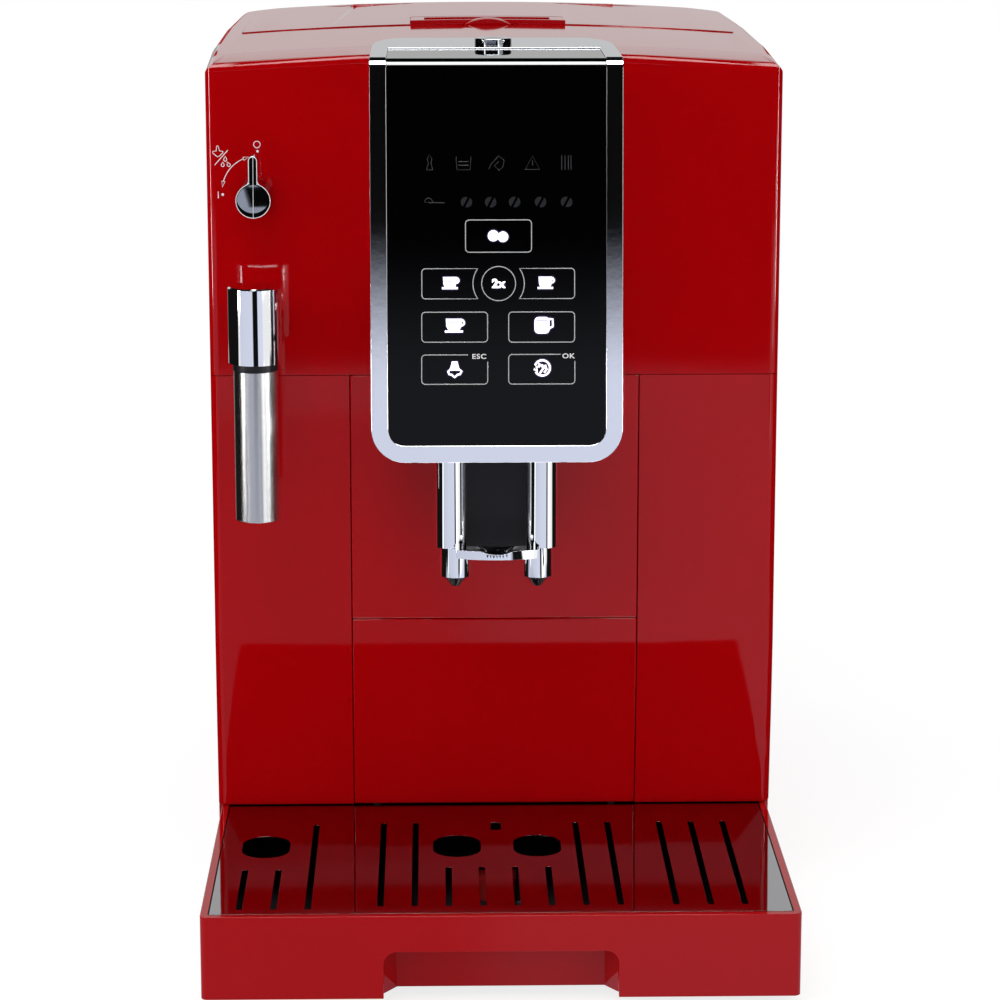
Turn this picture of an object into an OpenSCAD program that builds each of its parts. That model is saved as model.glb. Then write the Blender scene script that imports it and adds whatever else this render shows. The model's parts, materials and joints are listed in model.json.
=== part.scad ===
// Bean-to-cup espresso machine, built up from its casing, drip tray, brewing
// and grinding parts.  Millimetres, +Z up, front towards -Y, origin on the
// surface it stands on, below the middle of the whole machine.

/* [Casing] */
// Width across the front fascia
front_w = 228; // [224:1:230]
// Greatest width across the bowed sides
body_w = 236; // [234:1:242]
// Depth from the fascia plane to the rear panel
body_d = 298.5; // [296:0.5:304]
// Height of the crowned top at the fascia, on the centre line
front_h = 348; // [346:1:352]
// Rise of the top from the fascia to the back
top_rise = 2; // [1:0.5:3]
// Drop of the crown from the centre line to the side of the fascia
crown_drop = 4.4; // [3.4:0.2:5]
// How far behind the fascia plane the sides are widest
bow_at = 175; // [160:5:190]
// Wall of the outer shells
wall = 2.5; // [2.2:0.1:2.8]
// Thickness of the top cover, which carries the bean lid
roof = 5; // [4.6:0.2:5.6]
// How far the fascia cap wraps back along top and sides
cap_d = 42; // [36:1:46]
// Radius of the upright corners at the back
back_r = 28; // [22:1:32]
// Radius of the upright corners at the front
corner_r = 3.6; // [3.2:0.1:4.2]
// Radius of the edge between top and sides
edge_r = 7; // [6:0.5:8]
// How far the straight lengths of that rounding start outside the bow
edge_out = 0.6; // [0.5:0.1:0.8]
// Flats that make up the bow of one side
bow_facets = 12; // [8:1:16]
// Flats that make up half the crown
crown_facets = 12; // [8:1:14]
// Height of the seam between side panels and top cover
shoulder_h = 322; // [320:1:326]
// Height of the side panels' lower edge
skirt_h = 8; // [7.5:0.5:10]
// Open joint between neighbouring casing pieces
seam = 0.3; // [0.2:0.05:0.3]

/* [Lower front] */
// Height of the seam below the upper fascia
seam_h = 219.4; // [216:0.2:222]
// Height of the seam above the grounds container's front
split_h = 118.5; // [116:0.5:119]
// Height of the lower edge of the front panels
panel_h0 = 38.6; // [38.4:0.1:39.2]
// Distance between the two upright seams
centre_w = 116.4; // [114:0.4:120]
// Height below which the front curls back
curl_h = 140; // [136:1:146]
// Radius of the curled-back part
curl_r = 555; // [540:5:580]

/* [Control head] */
// Width of the control head
head_w = 97.4; // [96:0.2:100]
// Height of the head's lower edge
head_h0 = 194.2; // [192:0.2:197]
// Height of the head's flat top
head_h1 = 348.9; // [348.6:0.1:350]
// How far the head's lower edge stands out from the fascia
head_out0 = 53; // [52:0.5:55]
// How far the head's upper edge stands out from the fascia
head_out1 = 36.5; // [35:0.5:38]
// How far the head's top strap reaches behind the fascia
strap_d = 69; // [64:1:72]
// Radius of the head's lower corners
head_r = 13; // [11:0.5:14]
// Radius of the head's upper front edge
head_top_r = 5; // [4.5:0.5:6]
// Width of the bright frame around the glass
frame_w = 6.5; // [5.5:0.5:7]
// Wall of the bright frame
frame_t = 2.2; // [2:0.1:2.4]
// How far the glass lies below the frame's face
glass_sunk = 0.5; // [0.3:0.1:0.7]
// Thickness of the glass
glass_t = 1.8; // [1.8:0.1:2]
// How far the glass runs back over the top, behind the fascia plane
glass_back = 15; // [12:1:18]
// Diameter of the power button
power_d = 15; // [14:0.5:16]
// How far the power button stands proud
power_proud = 2.8; // [2.4:0.2:3.2]
// Travel of the power button
power_travel = 1.5; // [1:0.25:1.5]

/* [Coffee spout] */
// Distance between the two nozzles
nozzle_pitch = 32.4; // [31:0.2:34]
// Diameter of the nozzle tubes
nozzle_d = 12.8; // [12:0.2:13.4]
// How far the nozzles stand in front of the fascia
nozzle_out = 35.5; // [34.5:0.5:36]
// Height of the nozzle tips with the spout at rest
nozzle_h = 141.2; // [140:0.2:144]
// Width across the two spout columns
spout_w = 48.4; // [47:0.2:49]
// Width of one spout column
column_w = 12.2; // [11.6:0.2:12.6]
// How far the spout travels up
spout_up = 32; // [28:1:34]
// How far the spout travels down
spout_down = 16; // [12:1:16]

/* [Drip tray] */
// How far the tray stands in front of the fascia
tray_reach = 130.5; // [126:0.5:134]
// Width of the tray's front
tray_w = 226; // [222:1:227]
// Height of the cup grid's top
tray_h = 36.8; // [36.4:0.1:37.6]
// Height of the tray front's lower edge
tray_h0 = 4.2; // [3.6:0.2:5]
// Wall of the tray's painted front
tray_t = 3; // [2.6:0.2:3.2]
// Wall of the tray's inner tub
tub_t = 2; // [1.6:0.2:2.4]
// Depth of the part of the tub that lies under the machine
tub_back = 140; // [125:1:144]
// Width of the finger recess in the tray's front
recess_w = 88.6; // [82:0.2:94]
// Height of the finger recess above the tray's lower edge
recess_h = 18.4; // [17:0.2:20]
// Depth of the finger recess
recess_d = 12; // [11:0.5:16]
// Thickness of the steel cup grid
grid_t = 1; // [0.8:0.1:1.2]
// Width of the slots in the cup grid
slot_w = 2.5; // [2.2:0.1:2.8]
// Distance between neighbouring slots
slot_pitch = 13; // [12.8:0.1:13.2]
// Width of the finger holes in the cup grid
hole_w = 19; // [18:0.5:20]
// Length of the finger holes in the cup grid
hole_l = 27.5; // [25:0.5:29]

/* [Steam side] */
// Distance of the steam wand from the centre line
steam_x = 94; // [92:0.5:95]
// Distance of the steam knob from the centre line
knob_x = 94.8; // [93:0.2:96]
// Height of the steam knob's axis
knob_h = 291.8; // [288:0.2:296]
// Diameter of the steam knob
knob_d = 13.8; // [13:0.2:15]
// How far the steam knob stands out
knob_out = 18; // [16:0.5:20]
// Reach of the knob's pointer above its axis
pointer_l = 17.6; // [16:0.2:19]
// How far the wand's axis stands in front of the fascia
wand_out = 33; // [30:0.5:35]
// Diameter of the wand's bright cap
cap_w = 21; // [20.5:0.1:21.5]
// Height of the lower edge of the wand's cap
cap_h0 = 230.6; // [229:0.2:232]
// Length of the wand's cap
cap_l = 30; // [29:0.2:32]
// Bevel round the top of the wand's cap
cap_edge = 0.6; // [0.4:0.1:1]
// Diameter of the wand's steel sleeve
sleeve_d = 17.2; // [17:0.1:18]
// Height of the lower end of the sleeve
sleeve_h0 = 168; // [166:0.2:170]
// Height of the black ring above the sleeve
ring_h = 3; // [2.4:0.2:3.6]
// Diameter of the steam pipe
pipe_d = 8; // [7:0.2:9]

/* [Bean lid] */
// How far behind the fascia the lid begins
lid_y0 = 150; // [146:1:154]
// Border of the top cover around the lid
lid_border = 10.5; // [10:0.5:11.5]
// How far the lid stands proud of the cover
lid_proud = 0.4; // [0.2:0.1:0.8]
// Half the width of the pre-ground coffee flap
flap_half = 34; // [32:0.5:38]
// Depth of the pre-ground coffee flap
flap_d = 40; // [36:1:44]

/* [Water tank] */
// How far behind the fascia the tank begins
tank_y0 = 75; // [72:1:80]
// How far behind the fascia the tank ends
tank_y1 = 268; // [262:1:269]
// Height of the tank's lower edge
tank_h0 = 57; // [54:0.5:60]
// Height of the tank lid's top
tank_h1 = 300; // [290:1:301]
// Distance of the tank's inner wall from the centre line
tank_x0 = 52; // [51.5:0.5:54]
// Wall of the tank
tank_t = 2.2; // [1.8:0.2:2.6]
// Radius of the filling mouth in the tank's lid
mouth_r = 18; // [16:1:20]

/* [Fits] */
// Radial clearance of a turning or sliding shaft
run_fit = 0.05; // [0.03:0.01:0.08]
// Clearance between parts that slide past each other
slide_gap = 0.3; // [0.2:0.05:0.3]

/* [Hidden] */
$fn = 64;
eps = 0.01;
far = 600;
fy = (tray_reach - body_d) / 2;              // fascia plane
back_y = fy + body_d;                        // outer face of the rear panel
side_bow = (body_w - front_w) / 2;
side_r = (bow_at * bow_at + side_bow * side_bow) / (2 * side_bow);
crown_r = front_w * front_w / (8 * crown_drop);
rise_angle = atan(top_rise / body_d);
function bow_x(y) = body_w / 2 - side_r + sqrt(side_r * side_r - pow(y - fy - bow_at, 2));
function top_z(x, y) = front_h + top_rise * (y - fy) / body_d - x * x / (2 * crown_r);

// lower front
panel_top = seam_h - seam / 2;
fascia_bottom = seam_h + seam / 2;
centre_half = centre_w / 2 - seam / 2;
side_panel_y = fy + cap_d + seam;
rear_half = 89;

// control head
lean = atan((head_out0 - head_out1) / (head_h1 - head_h0));
face_slope = tan(lean);
function face_y(z, inset) = fy - head_out0 + (z - head_h0) * face_slope + inset / cos(lean);
stack_back = glass_sunk + glass_t + 2.4;     // back of glass and control board
board_t = 1.4;
power_y = fy + 30;
power_rim = 1.2;
button_stem_r = 3;
strap_t = 3.4;
strap_round = 13;
strap_sweep = 40;

// spout
column_front = nozzle_out + nozzle_d / 2 - 0.4;
column_back = column_front - 13;
column_r = 5.4;
column_h0 = nozzle_h + 16.2;
column_h1 = head_h0 + spout_down + 4;
carrier_h1 = column_h1 + 6;
carrier_t = 3;
tip_h = 4.4;
shelf_gap = 0.05;
recess_slant = 5;
spout_gap = 0.6;
bar_h = 3.4;
bar_out = 49;
bar_back = column_front - 3;

// drip tray
base_t = 3;
foot_h = 4;
base_top = foot_h + base_t;
rim_h = 30;
tub_h0 = base_top + 0.2;
floor_z = tub_h0 + tub_t;
grid_z0 = tray_h - grid_t;
tray_back = fy + 16;
tub_half = 105;
tray_half = tray_w / 2;
front_y = fy - tray_reach;
rib_top = panel_h0 - 0.3;
bin_z0 = rib_top + 0.2;
bin_half = centre_half - 3;
bin_back = fy + 70;
bin_z1 = split_h - 6;
rib_x = bin_half - 8;
grid_half = tray_half - tray_t - 0.4;
grid_y0 = front_y + tray_t + 0.4;
grid_y1 = fy + 8;
slot_y1 = fy - 119;
float_y = fy - 21;

// steam side
knob_r = knob_d / 2;
knob_shaft_r = 3;
swivel_r = 6;
sleeve_h1 = cap_h0 - ring_h;
cap_h1 = cap_h0 + cap_l;
swivel_h = cap_h1 - 14.6;
sleeve_wall = 0.8;

// bean side
lid_back = back_y - 13;
lid_t = 2.8;
rebate = lid_t - lid_proud;
hinge_y = lid_back;
hinge_z = top_z(35, lid_back) - 1.2;
knuckle_r = 2;
knuckle_w = 20;
hinge_x = 48;
pin_r = 1;
lip_h = 1.4;
grip_w = 22.4;
grip_h = 2.2;
grip_dome = 25;
flap_y0 = fy + lid_y0 + 3;
flap_y1 = flap_y0 + flap_d;
flap_pin_r = 1.2;
flap_axis_y = flap_y1 - flap_pin_r;
flap_axis_z = top_z(0, flap_y1) + lid_proud - 1.6;
hopper_wall = 2.5;
hopper_y0 = fy + lid_y0 + 8;
hopper_y1 = lid_back - 7;
hopper_half = 98;
hopper_r = 10;
hopper_top = front_h - roof - crown_drop - 0.4;
hopper_mid = hopper_top - 20;
hopper_bottom = hopper_mid - 34;
throat_r = 24;
dial_x = 56;
dial_inset = 22;
dial_z = hopper_top - 8;
funnel_half = 22;
funnel_d = 30;

// grinding and brewing parts
grinder_x = -52;
grinder_y = fy + 218;
grinder_r = 42;
grinder_h1 = hopper_bottom;
grinder_h0 = grinder_h1 - 62;
burr_r = 30;
motor_r = 30;
motor_h0 = grinder_h0 - 88;
deck_z0 = 42;
deck_t = 2.5;
deck_top = deck_z0 + deck_t;
deck_front = fy + 118;
deck_side_front = fy + 46;
deck_back = back_y - wall - 2;
bay_top = tank_h1 + 1;
bay_x0 = tank_x0 - 5.5;
bay_x1 = tank_x0 - 3;
bay_floor = tank_h0 - 0.2;
bay_t = 2.5;
infuser_y0 = fy + 128;
infuser_y1 = fy + 222;
infuser_z0 = 92;
infuser_z1 = 236;
brew_x0 = -9;
door_t = 2;
valve_z = tank_h0 + 18;
valve_y = fy + 245;
valve_r = 6;
inlet_x = -52;
inlet_z = 24;
switch_x = -18;
pivot_r = 1.5;
pivot_y = back_y - 6;
foot_r = 11;
post_x = 92;
post_r = 5;

// ---------------------------------------------------------------- shared forms

// Rounded rectangle about the origin
module rounded(w, h, r) {
  square([w - 2 * r, h], center = true);
  square([w, h - 2 * r], center = true);
  for (x = [-1, 1], y = [-1, 1])
    translate([x * (w / 2 - r), y * (h / 2 - r)]) circle(r);
}

// A box between two corners
module block(a, b) {
  translate(a) cube(b - a);
}

// A rounded box between two corners, rounded about the upright edges
module soft_block(a, b, r) {
  translate([(a[0] + b[0]) / 2, (a[1] + b[1]) / 2, a[2]])
    linear_extrude(b[2] - a[2]) rounded(b[0] - a[0], b[1] - a[1], r);
}

// Extrudes a drawing of the front view from y0 back to y1
module front_view(y0, y1) {
  translate([0, y1, 0]) rotate([90, 0, 0]) linear_extrude(y1 - y0) children();
}

// Extrudes a drawing of the side view, y across and z up, from x0 to x1
module side_view(x0, x1) {
  translate([x0, 0, 0]) rotate([90, 0, 90]) linear_extrude(x1 - x0) children();
}

// A cylinder along Y, from y0 back to y1
module rod_y(x, z, r, y0, y1) {
  translate([x, y1, z]) rotate([90, 0, 0]) cylinder(r = r, h = y1 - y0);
}

// A cylinder along X, from x0 to x1
module rod_x(y, z, r, x0, x1) {
  translate([x0, y, z]) rotate([0, 90, 0]) cylinder(r = r, h = x1 - x0);
}

// The machine's outline from above, with bowed sides
function bow_point(s, inset, k) =
  let (y = fy - 1 + (body_d + 2) * k / bow_facets) [s * (bow_x(y) - inset), y];

module body_plan(inset = 0) {
  r_back = back_r - inset;
  r_front = max(corner_r - inset, 0.6);
  y0 = fy + inset;
  y1 = back_y - inset;
  difference() {
    intersection() {
      polygon(concat(
        [for (k = [0 : bow_facets]) bow_point(1, inset, k)],
        [for (k = [bow_facets : -1 : 0]) bow_point(-1, inset, k)]));
      translate([-far / 2, y0]) square([far, y1 - y0]);
    }
    for (s = [-1, 1]) scale_x(s) {
      difference() {
        translate([bow_x(y1 - r_back) - inset - r_back, y1 - r_back]) square(r_back + 4);
        translate([bow_x(y1 - r_back) - inset - r_back, y1 - r_back]) circle(r_back);
      }
      difference() {
        translate([bow_x(y0 + r_front) - inset - r_front, y0 - 4]) square([r_front + 4, r_front + 4]);
        translate([bow_x(y0 + r_front) - inset - r_front, y0 + r_front]) circle(r_front);
      }
    }
  }
}

// Mirrors its children to the other side where s is -1
module scale_x(s) {
  if (s > 0) children();
  else mirror([1, 0, 0]) children();
}

// Everything behind the front face: upright above curl_h, curled back below it
module front_form(inset = 0) {
  rod_x(fy + curl_r, curl_h, curl_r - inset, -far / 2, far / 2, $fn = 360);
  block([-far / 2, fy + inset, curl_h], [far / 2, fy + far, far]);
}

// Solid body of the casing below the crown
module body_form(inset, z0, z1) {
  intersection() {
    translate([0, 0, z0]) linear_extrude(z1 - z0) body_plan(inset);
    front_form(inset);
  }
}

// Bent outer wall of the casing between two heights
module body_wall(z0, z1) {
  difference() {
    body_form(0, z0, z1);
    body_form(wall, z0 - 1, z1 + 1);
  }
}

// Rounds the upright front corners along the curled-back part
module curl_corner_cut() {
  turn = asin((curl_h - panel_h0) / curl_r) + 1;
  x = bow_x(fy + 8);
  for (s = [-1, 1]) scale_x(s)
    translate([0, fy + curl_r, curl_h]) rotate([-90, 0, 0]) rotate([0, 90, 0])
      rotate_extrude(angle = turn, $fn = 360) difference() {
        translate([curl_r - corner_r, x - corner_r]) square(corner_r + 2);
        translate([curl_r - corner_r, x - corner_r]) circle(corner_r);
      }
}

// Crowned upper body with its rounded edges
module crown_form() {
  difference() {
    intersection() {
      translate([0, 0, seam_h - 10]) linear_extrude(far) body_plan();
      under_crown(0);
    }
    shoulder_cut();
  }
}

// Rounds the edge between top and sides, in straight lengths along the bow,
// and the upper edges at the front and the back
module shoulder_cut() {
  step = body_d / 3;
  for (s = [-1, 1], k = [0, 1, 2]) scale_x(s) {
    x0 = bow_x(fy + k * step) + edge_out;
    x1 = bow_x(fy + (k + 1) * step) + edge_out;
    translate([x0 - edge_r, fy + k * step, top_z(x0 - edge_r, fy + k * step) + edge_out / 2 - edge_r])
      rotate([rise_angle, 0, atan2(x0 - x1, step)]) edge_cut(edge_r, step);
  }
  width = front_w / 4;
  for (s = [-1, 1], k = [0, 1]) scale_x(s)
    translate([k * width, fy + corner_r, top_z(k * width, fy) + edge_out / 2 - corner_r])
      rotate([0, atan2(top_z(k * width, fy) - top_z((k + 1) * width, fy), width), 0])
        side_view(-1, width + 1) mirror([1, 0]) difference() {
          square(corner_r + 4);
          circle(corner_r, $fn = 12);
        }
  side_view(-far / 2, far / 2) translate([back_y - edge_r, top_z(0, back_y) - edge_r])
    difference() {
      square(edge_r + 4);
      circle(edge_r);
    }
}

// Corner piece of the given length outside an edge of radius r
module edge_cut(r, length) {
  front_view(-1, length + 1) difference() {
    square(r + 4);
    circle(r);
  }
}

// Space under the crown
module crown_hollow(top) {
  intersection() {
    translate([0, 0, seam_h - 20]) linear_extrude(far / 2) body_plan(wall);
    under_crown(top);
  }
}

// Outline of the control head from the front, inset from its edge
module head_outline(inset) {
  r = head_r - inset;
  half = head_w / 2 - inset;
  z0 = head_h0 + inset;
  translate([-half, z0 + r]) square([2 * half, far - z0]);
  translate([-half + r, z0]) square([2 * (half - r), r + 1]);
  for (s = [-1, 1]) translate([s * (half - r), z0 + r]) circle(r);
}

// Side view of the control head: leaning face, rounded edge, flat top
module head_profile(inset, back) {
  r = head_top_r - inset;
  top = head_h1 - inset;
  zc = top - r;
  yc = face_y(zc, inset) + r / cos(lean);
  z0 = head_h0 - 1;
  difference() {
    polygon([[face_y(z0, inset), z0], [face_y(top, inset), top], [back, top], [back, z0]]);
    difference() {
      polygon([[yc, zc], [yc - (r + 4) * cos(lean), zc + (r + 4) * sin(lean)],
        [yc - r - 6, top + 6], [yc, top + 4]]);
      translate([yc, zc]) circle(r);
    }
  }
}

// Solid control head, back to a plane; sides and bottom keep their own inset
module head_form(inset, side_inset, back) {
  intersection() {
    side_view(-head_w, head_w) head_profile(inset, back);
    front_view(fy - far / 2, back) head_outline(side_inset);
  }
}

// Space that the control head takes out of the fascia and the top cover
module head_pocket() {
  translate([0, 0, head_h1 - strap_t - 0.2]) linear_extrude(far) strap_plan(0.2, fy - 1);
}

// Outline of the head's top strap from above, grown on all sides, from a front line back
module strap_plan(grow, front) {
  half = head_w / 2 + grow;
  back = fy + strap_d + grow;
  side = [for (t = [0 : 15 : 90])
    [half - strap_round + strap_round * cos(t), back - strap_sweep + strap_sweep * sin(t)]];
  polygon(concat([[half, front]], side, [for (k = [len(side) - 1 : -1 : 0]) [-side[k][0], side[k][1]]], [[-half, front]]));
}

// ---------------------------------------------------------------- casing

module base_pan() {
  color("#2b2b2d") {
    difference() {
      translate([0, 0, foot_h]) linear_extrude(rim_h - foot_h) intersection() {
        body_plan(wall + 0.2);
        translate([-far / 2, fy + 20]) square([far, far]);
      }
      translate([0, 0, base_top]) linear_extrude(rim_h) body_plan(wall + 2.4);
      block([-far / 2, fy, base_top], [far / 2, fy + cap_d, rim_h + 1]);
      block([-rear_half, back_y - 20, base_top], [rear_half, far, rim_h + 1]);
    }
    for (x = [-post_x, post_x - 62, post_x], y = [fy + tub_back + 10, deck_back - 12])
      translate([x, y, base_top - eps])
        cylinder(r = post_r, h = (x > tank_x0 ? bay_floor - bay_t : deck_z0) - base_top + eps);
  }
}

module feet() {
  color("#1c1c1d")
    for (x = [-88, 88], y = [fy + 44, back_y - 34]) translate([x, y, 0]) difference() {
      cylinder(r = foot_r, h = foot_h);
      translate([0, 0, -eps]) cylinder(r = foot_r - 3, h = 1);
    }
}

module side_panel(s) {
  difference() {
    intersection() {
      body_wall(skirt_h, shoulder_h);
      union() {
        block([s > 0 ? 0 : -far, side_panel_y, 0], [s > 0 ? far : 0, far, far]);
        block([s > 0 ? tub_half + 0.6 : -far, tray_back + 0.6, 0],
          [s > 0 ? far : -tub_half - 0.6, far, panel_h0 - seam]);
      }
    }
    block([-rear_half - seam, back_y - wall - 1, 0], [rear_half + seam, far, far]);
  }
}

module left_side_panel() {
  color("#9c0a12") side_panel(-1);
}

module right_side_panel() {
  color("#9c0a12") difference() {
    side_panel(1);
    block([tank_x0, fy + tank_y0, tank_h0], [far, fy + tank_y1, tank_h1 + seam]);
  }
}

module rear_panel() {
  color("#1f1f21") difference() {
    union() {
      block([-rear_half, back_y - wall, skirt_h], [rear_half, back_y, shoulder_h]);
      block([switch_x - 3.5, pivot_y - 3.5, inlet_z - 9.7], [switch_x + 3.5, back_y - wall + eps, inlet_z + 9.7]);
    }
    block([switch_x - 9.7, pivot_y - 4, inlet_z - 6.7], [switch_x + 9.7, back_y, inlet_z + 6.7]);
    translate([switch_x, pivot_y, inlet_z]) cylinder(r = pivot_r + run_fit, h = 20, center = true);
    for (s = [-1, 1], k = [0:8])
      translate([s * 52, back_y - wall / 2, 190 + k * 9])
        rotate([90, 0, 0]) linear_extrude(wall + 2, center = true) rounded(50, 3, 1.4);
    front_view(back_y - wall - 1, back_y + 1) translate([inlet_x, inlet_z]) rounded(27.4, 20.4, 2);
    front_view(back_y - wall - 1, back_y + 1) translate([switch_x, inlet_z]) square([19.4, 13.4], center = true);
    for (x = [-rear_half + 8, rear_half - 8], z = [skirt_h + 12, shoulder_h - 12])
    {
      rod_y(x, z, 1.8, back_y - wall - 1, back_y + 1);
      rod_y(x, z, 3.3, back_y - 1.4, back_y + 1);
    }
  }
}

module top_cover() {
  lid_zone_y0 = fy + lid_y0 - 0.4;
  color("#a30d15") difference() {
    intersection() {
      crown_form();
      block([-far / 2, side_panel_y, shoulder_h + seam], [far / 2, far, far]);
    }
    crown_hollow(roof);
    head_pocket();
    lid_space(lid_border - 0.4, rebate + 0.2, 3.2);
    translate([0, 0, seam_h]) linear_extrude(far) mouth_plan(hopper_wall + 0.2);
    for (s = [-1, 1]) {
      rod_x(hinge_y, hinge_z, knuckle_r + 0.8, s * hinge_x - knuckle_w / 2 - 1, s * hinge_x + knuckle_w / 2 + 1);
      rod_x(hinge_y, hinge_z, pin_r, s * hinge_x - 15, s * hinge_x + 15);
      block([s * hinge_x - knuckle_w / 2 - 1, hinge_y - 6, hinge_z - knuckle_r - 0.4],
        [s * hinge_x + knuckle_w / 2 + 1, hinge_y, far]);
    }
    block([-grip_w / 2 - 2, lid_zone_y0 - 8, front_h - 3], [grip_w / 2 + 2, lid_zone_y0 + 6, far]);
  }
}

// Flat space for the lid, sunk below the crown by depth
module lid_space(border, depth, back_gap) {
  intersection() {
    translate([0, 0, seam_h]) linear_extrude(far) intersection() {
      body_plan(border);
      translate([-far / 2, fy + lid_y0 - (lid_border - border)])
        square([far, lid_back - fy - lid_y0 + back_gap]);
    }
    difference() {
      block([-far / 2, fy, seam_h], [far / 2, far, far]);
      under_crown(depth);
    }
  }
}

// Everything lower than the crown by depth
module under_crown(depth) {
  step = body_w / 2 / crown_facets;
  translate([0, fy, front_h - depth]) rotate([rise_angle, 0, 0]) front_view(-100, body_d + 100)
    polygon(concat([[-far / 2, -far / 2], [-far / 2, -crown_drop]],
      [for (k = [-crown_facets : crown_facets]) [k * step, -k * k * step * step / (2 * crown_r)]],
      [[far / 2, -crown_drop], [far / 2, -far / 2]]));
}

module upper_fascia() {
  color("#9c0a12") difference() {
    intersection() {
      crown_form();
      block([-far / 2, fy - 1, fascia_bottom], [far / 2, fy + cap_d, far]);
    }
    crown_hollow(wall);
    head_pocket();
    block([-head_w / 2 + 8, fy - 1, fascia_bottom - 1], [head_w / 2 - 8, fy + wall + 1, head_h1 - 20]);
    rod_y(-knob_x, knob_h, knob_shaft_r + run_fit, fy - 1, fy + wall + 1);
    rod_y(-steam_x, swivel_h, swivel_r + run_fit, fy - 1, fy + wall + 1);
  }
}

module lower_panel(x0, x1, z0, z1) {
  difference() {
    intersection() {
      body_wall(z0, z1);
      block([x0, fy - 1, z0], [x1, fy + cap_d, z1]);
    }
    curl_corner_cut();
  }
}

module front_left_panel() {
  color("#9c0a12") lower_panel(-far / 2, -centre_w / 2 - seam / 2, panel_h0, panel_top);
}

module front_right_panel() {
  color("#9c0a12") lower_panel(centre_w / 2 + seam / 2, far / 2, panel_h0, panel_top);
}

module front_center_panel() {
  color("#9c0a12") lower_panel(-centre_half, centre_half, split_h + seam / 2, panel_top);
}

// ---------------------------------------------------------------- control head

module head_frame() {
  strap_back = fy + strap_d;
  color("#d9dce0") difference() {
    intersection() {
      head_form(0, 0, strap_back);
      linear_extrude(far) strap_plan(0, fy - far / 2);
    }
    head_form(frame_t, frame_t, strap_back - frame_t);
    head_form(-1, frame_w, fy + glass_back + 0.2);
    block([-head_w, fy, 0], [head_w, far, head_h1 - strap_t]);
    spout_slot(spout_gap);
    translate([0, power_y, head_h1 - far / 2]) cylinder(r = power_d / 2 + 0.2, h = far);
  }
}

// Way of the spout through the head's underside
module spout_slot(gap) {
  block([-spout_w / 2 - gap, fy - column_front - gap, head_h0 - 1],
    [spout_w / 2 + gap, fy - column_back + carrier_t + gap, head_h0 + frame_t + 1]);
}

module control_glass() {
  color("#0b0b0d") difference() {
    head_form(glass_sunk, frame_w + 0.1, fy + glass_back);
    head_form(glass_sunk + glass_t, -2, fy + glass_back + 1);
  }
  color("#0b0b0d") difference() {
    head_form(frame_t + 0.05, frame_t + 0.1, fy + glass_back);
    head_form(glass_sunk + glass_t + 0.5, -2, fy + glass_back + 1);
    block([-head_w, fy - head_out1 + head_top_r, head_h1 - 8], [head_w, far, far]);
  }
}

module control_board() {
  front = glass_sunk + glass_t + 0.6;
  color("#1d5a35") intersection() {
    difference() {
      head_form(front, frame_t + 1.5, fy);
      head_form(front + board_t, -2, far);
    }
    block([-head_w, fy - far / 2, head_h0 + 12], [head_w, fy, head_h1 - 22]);
  }
}

module spout_guide() {
  guide_x = spout_w / 2 + spout_gap;
  color("#26262a") intersection() {
    front_view(fy - head_out0, fy) head_outline(frame_t + 0.2);
    union() {
    block([-head_w / 2 + 3, fy - 3.2, head_h0 + frame_t + 0.2], [head_w / 2 - 3, fy, head_h1 - 24]);
    for (s = [-1, 1]) scale_x(s)
      block([guide_x, fy - column_front + 1, head_h0 + frame_t + 0.2],
        [guide_x + 2.4, fy - 3.2 + eps, carrier_h1 + spout_up + 6]);
    for (s = [-1, 1]) scale_x(s)
      block([head_w / 2 - frame_t - 8, fy - 20, head_h0 + 14], [head_w / 2 - frame_t - 0.1, fy - 3.2 + eps, head_h1 - 30]);
    }
  }
}

module power_button() {
  color("#d9dce0") translate([0, power_y, 0]) {
    difference() {
      translate([0, 0, head_h1 - frame_t - 0.6]) cylinder(r = power_d / 2, h = frame_t + 0.6 + power_proud);
      translate([0, 0, head_h1 + power_proud + 26]) sphere(26.5, $fn = 96);
    }
    translate([0, 0, head_h1 - strap_t - 4]) cylinder(r = button_stem_r, h = strap_t + 2);
  }
}

// ---------------------------------------------------------------- coffee spout

module spout_carrier() {
  z0 = column_h0 + 2;
  color("#17171a") {
    block([-spout_w / 2 + 1, fy - column_back, z0], [spout_w / 2 - 1, fy - column_back + carrier_t, carrier_h1]);
    block([-spout_w / 2 + column_w, fy - column_back - 5, z0],
      [spout_w / 2 - column_w, fy - column_back + eps, column_h1]);
    side_view(-spout_w / 2 + column_w, spout_w / 2 - column_w) polygon([
      [fy - column_back - 1, z0 + 12], [fy - column_back - 5 + eps, z0 + 12], [fy - bar_back, column_h0 + 0.6],
      [fy - bar_back, column_h0 + shelf_gap], [fy - column_back - 1, column_h0 + shelf_gap]]);
    for (s = [-1, 1]) scale_x(s)
      block([spout_w / 2 - 1 - eps, fy - column_back, z0 + 50], [spout_w / 2 + 0.3, fy - column_back + carrier_t, carrier_h1]);
  }
}

module spout_columns() {
  color("#d9dce0") column_forms();
}

// The two columns with the nozzle tubes below them
module column_forms() {
  for (s = [-1, 1]) scale_x(s) {
    translate([spout_w / 2 - column_w / 2, fy - (column_front + column_back) / 2, column_h0])
      linear_extrude(column_h1 - column_h0) rounded(column_w, column_front - column_back, column_r);
    translate([nozzle_pitch / 2, fy - nozzle_out, nozzle_h + tip_h])
      cylinder(r = nozzle_d / 2, h = column_h0 - nozzle_h - tip_h + eps);
  }
}

module nozzle_tips() {
  color("#17171a") for (s = [-1, 1]) translate([s * nozzle_pitch / 2, fy - nozzle_out, nozzle_h])
    difference() {
      cylinder(r1 = 1.6, r2 = nozzle_d / 2 - 1.4, h = tip_h);
      translate([0, 0, -eps]) cylinder(r = 0.8, h = tip_h - 1);
    }
}

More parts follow.
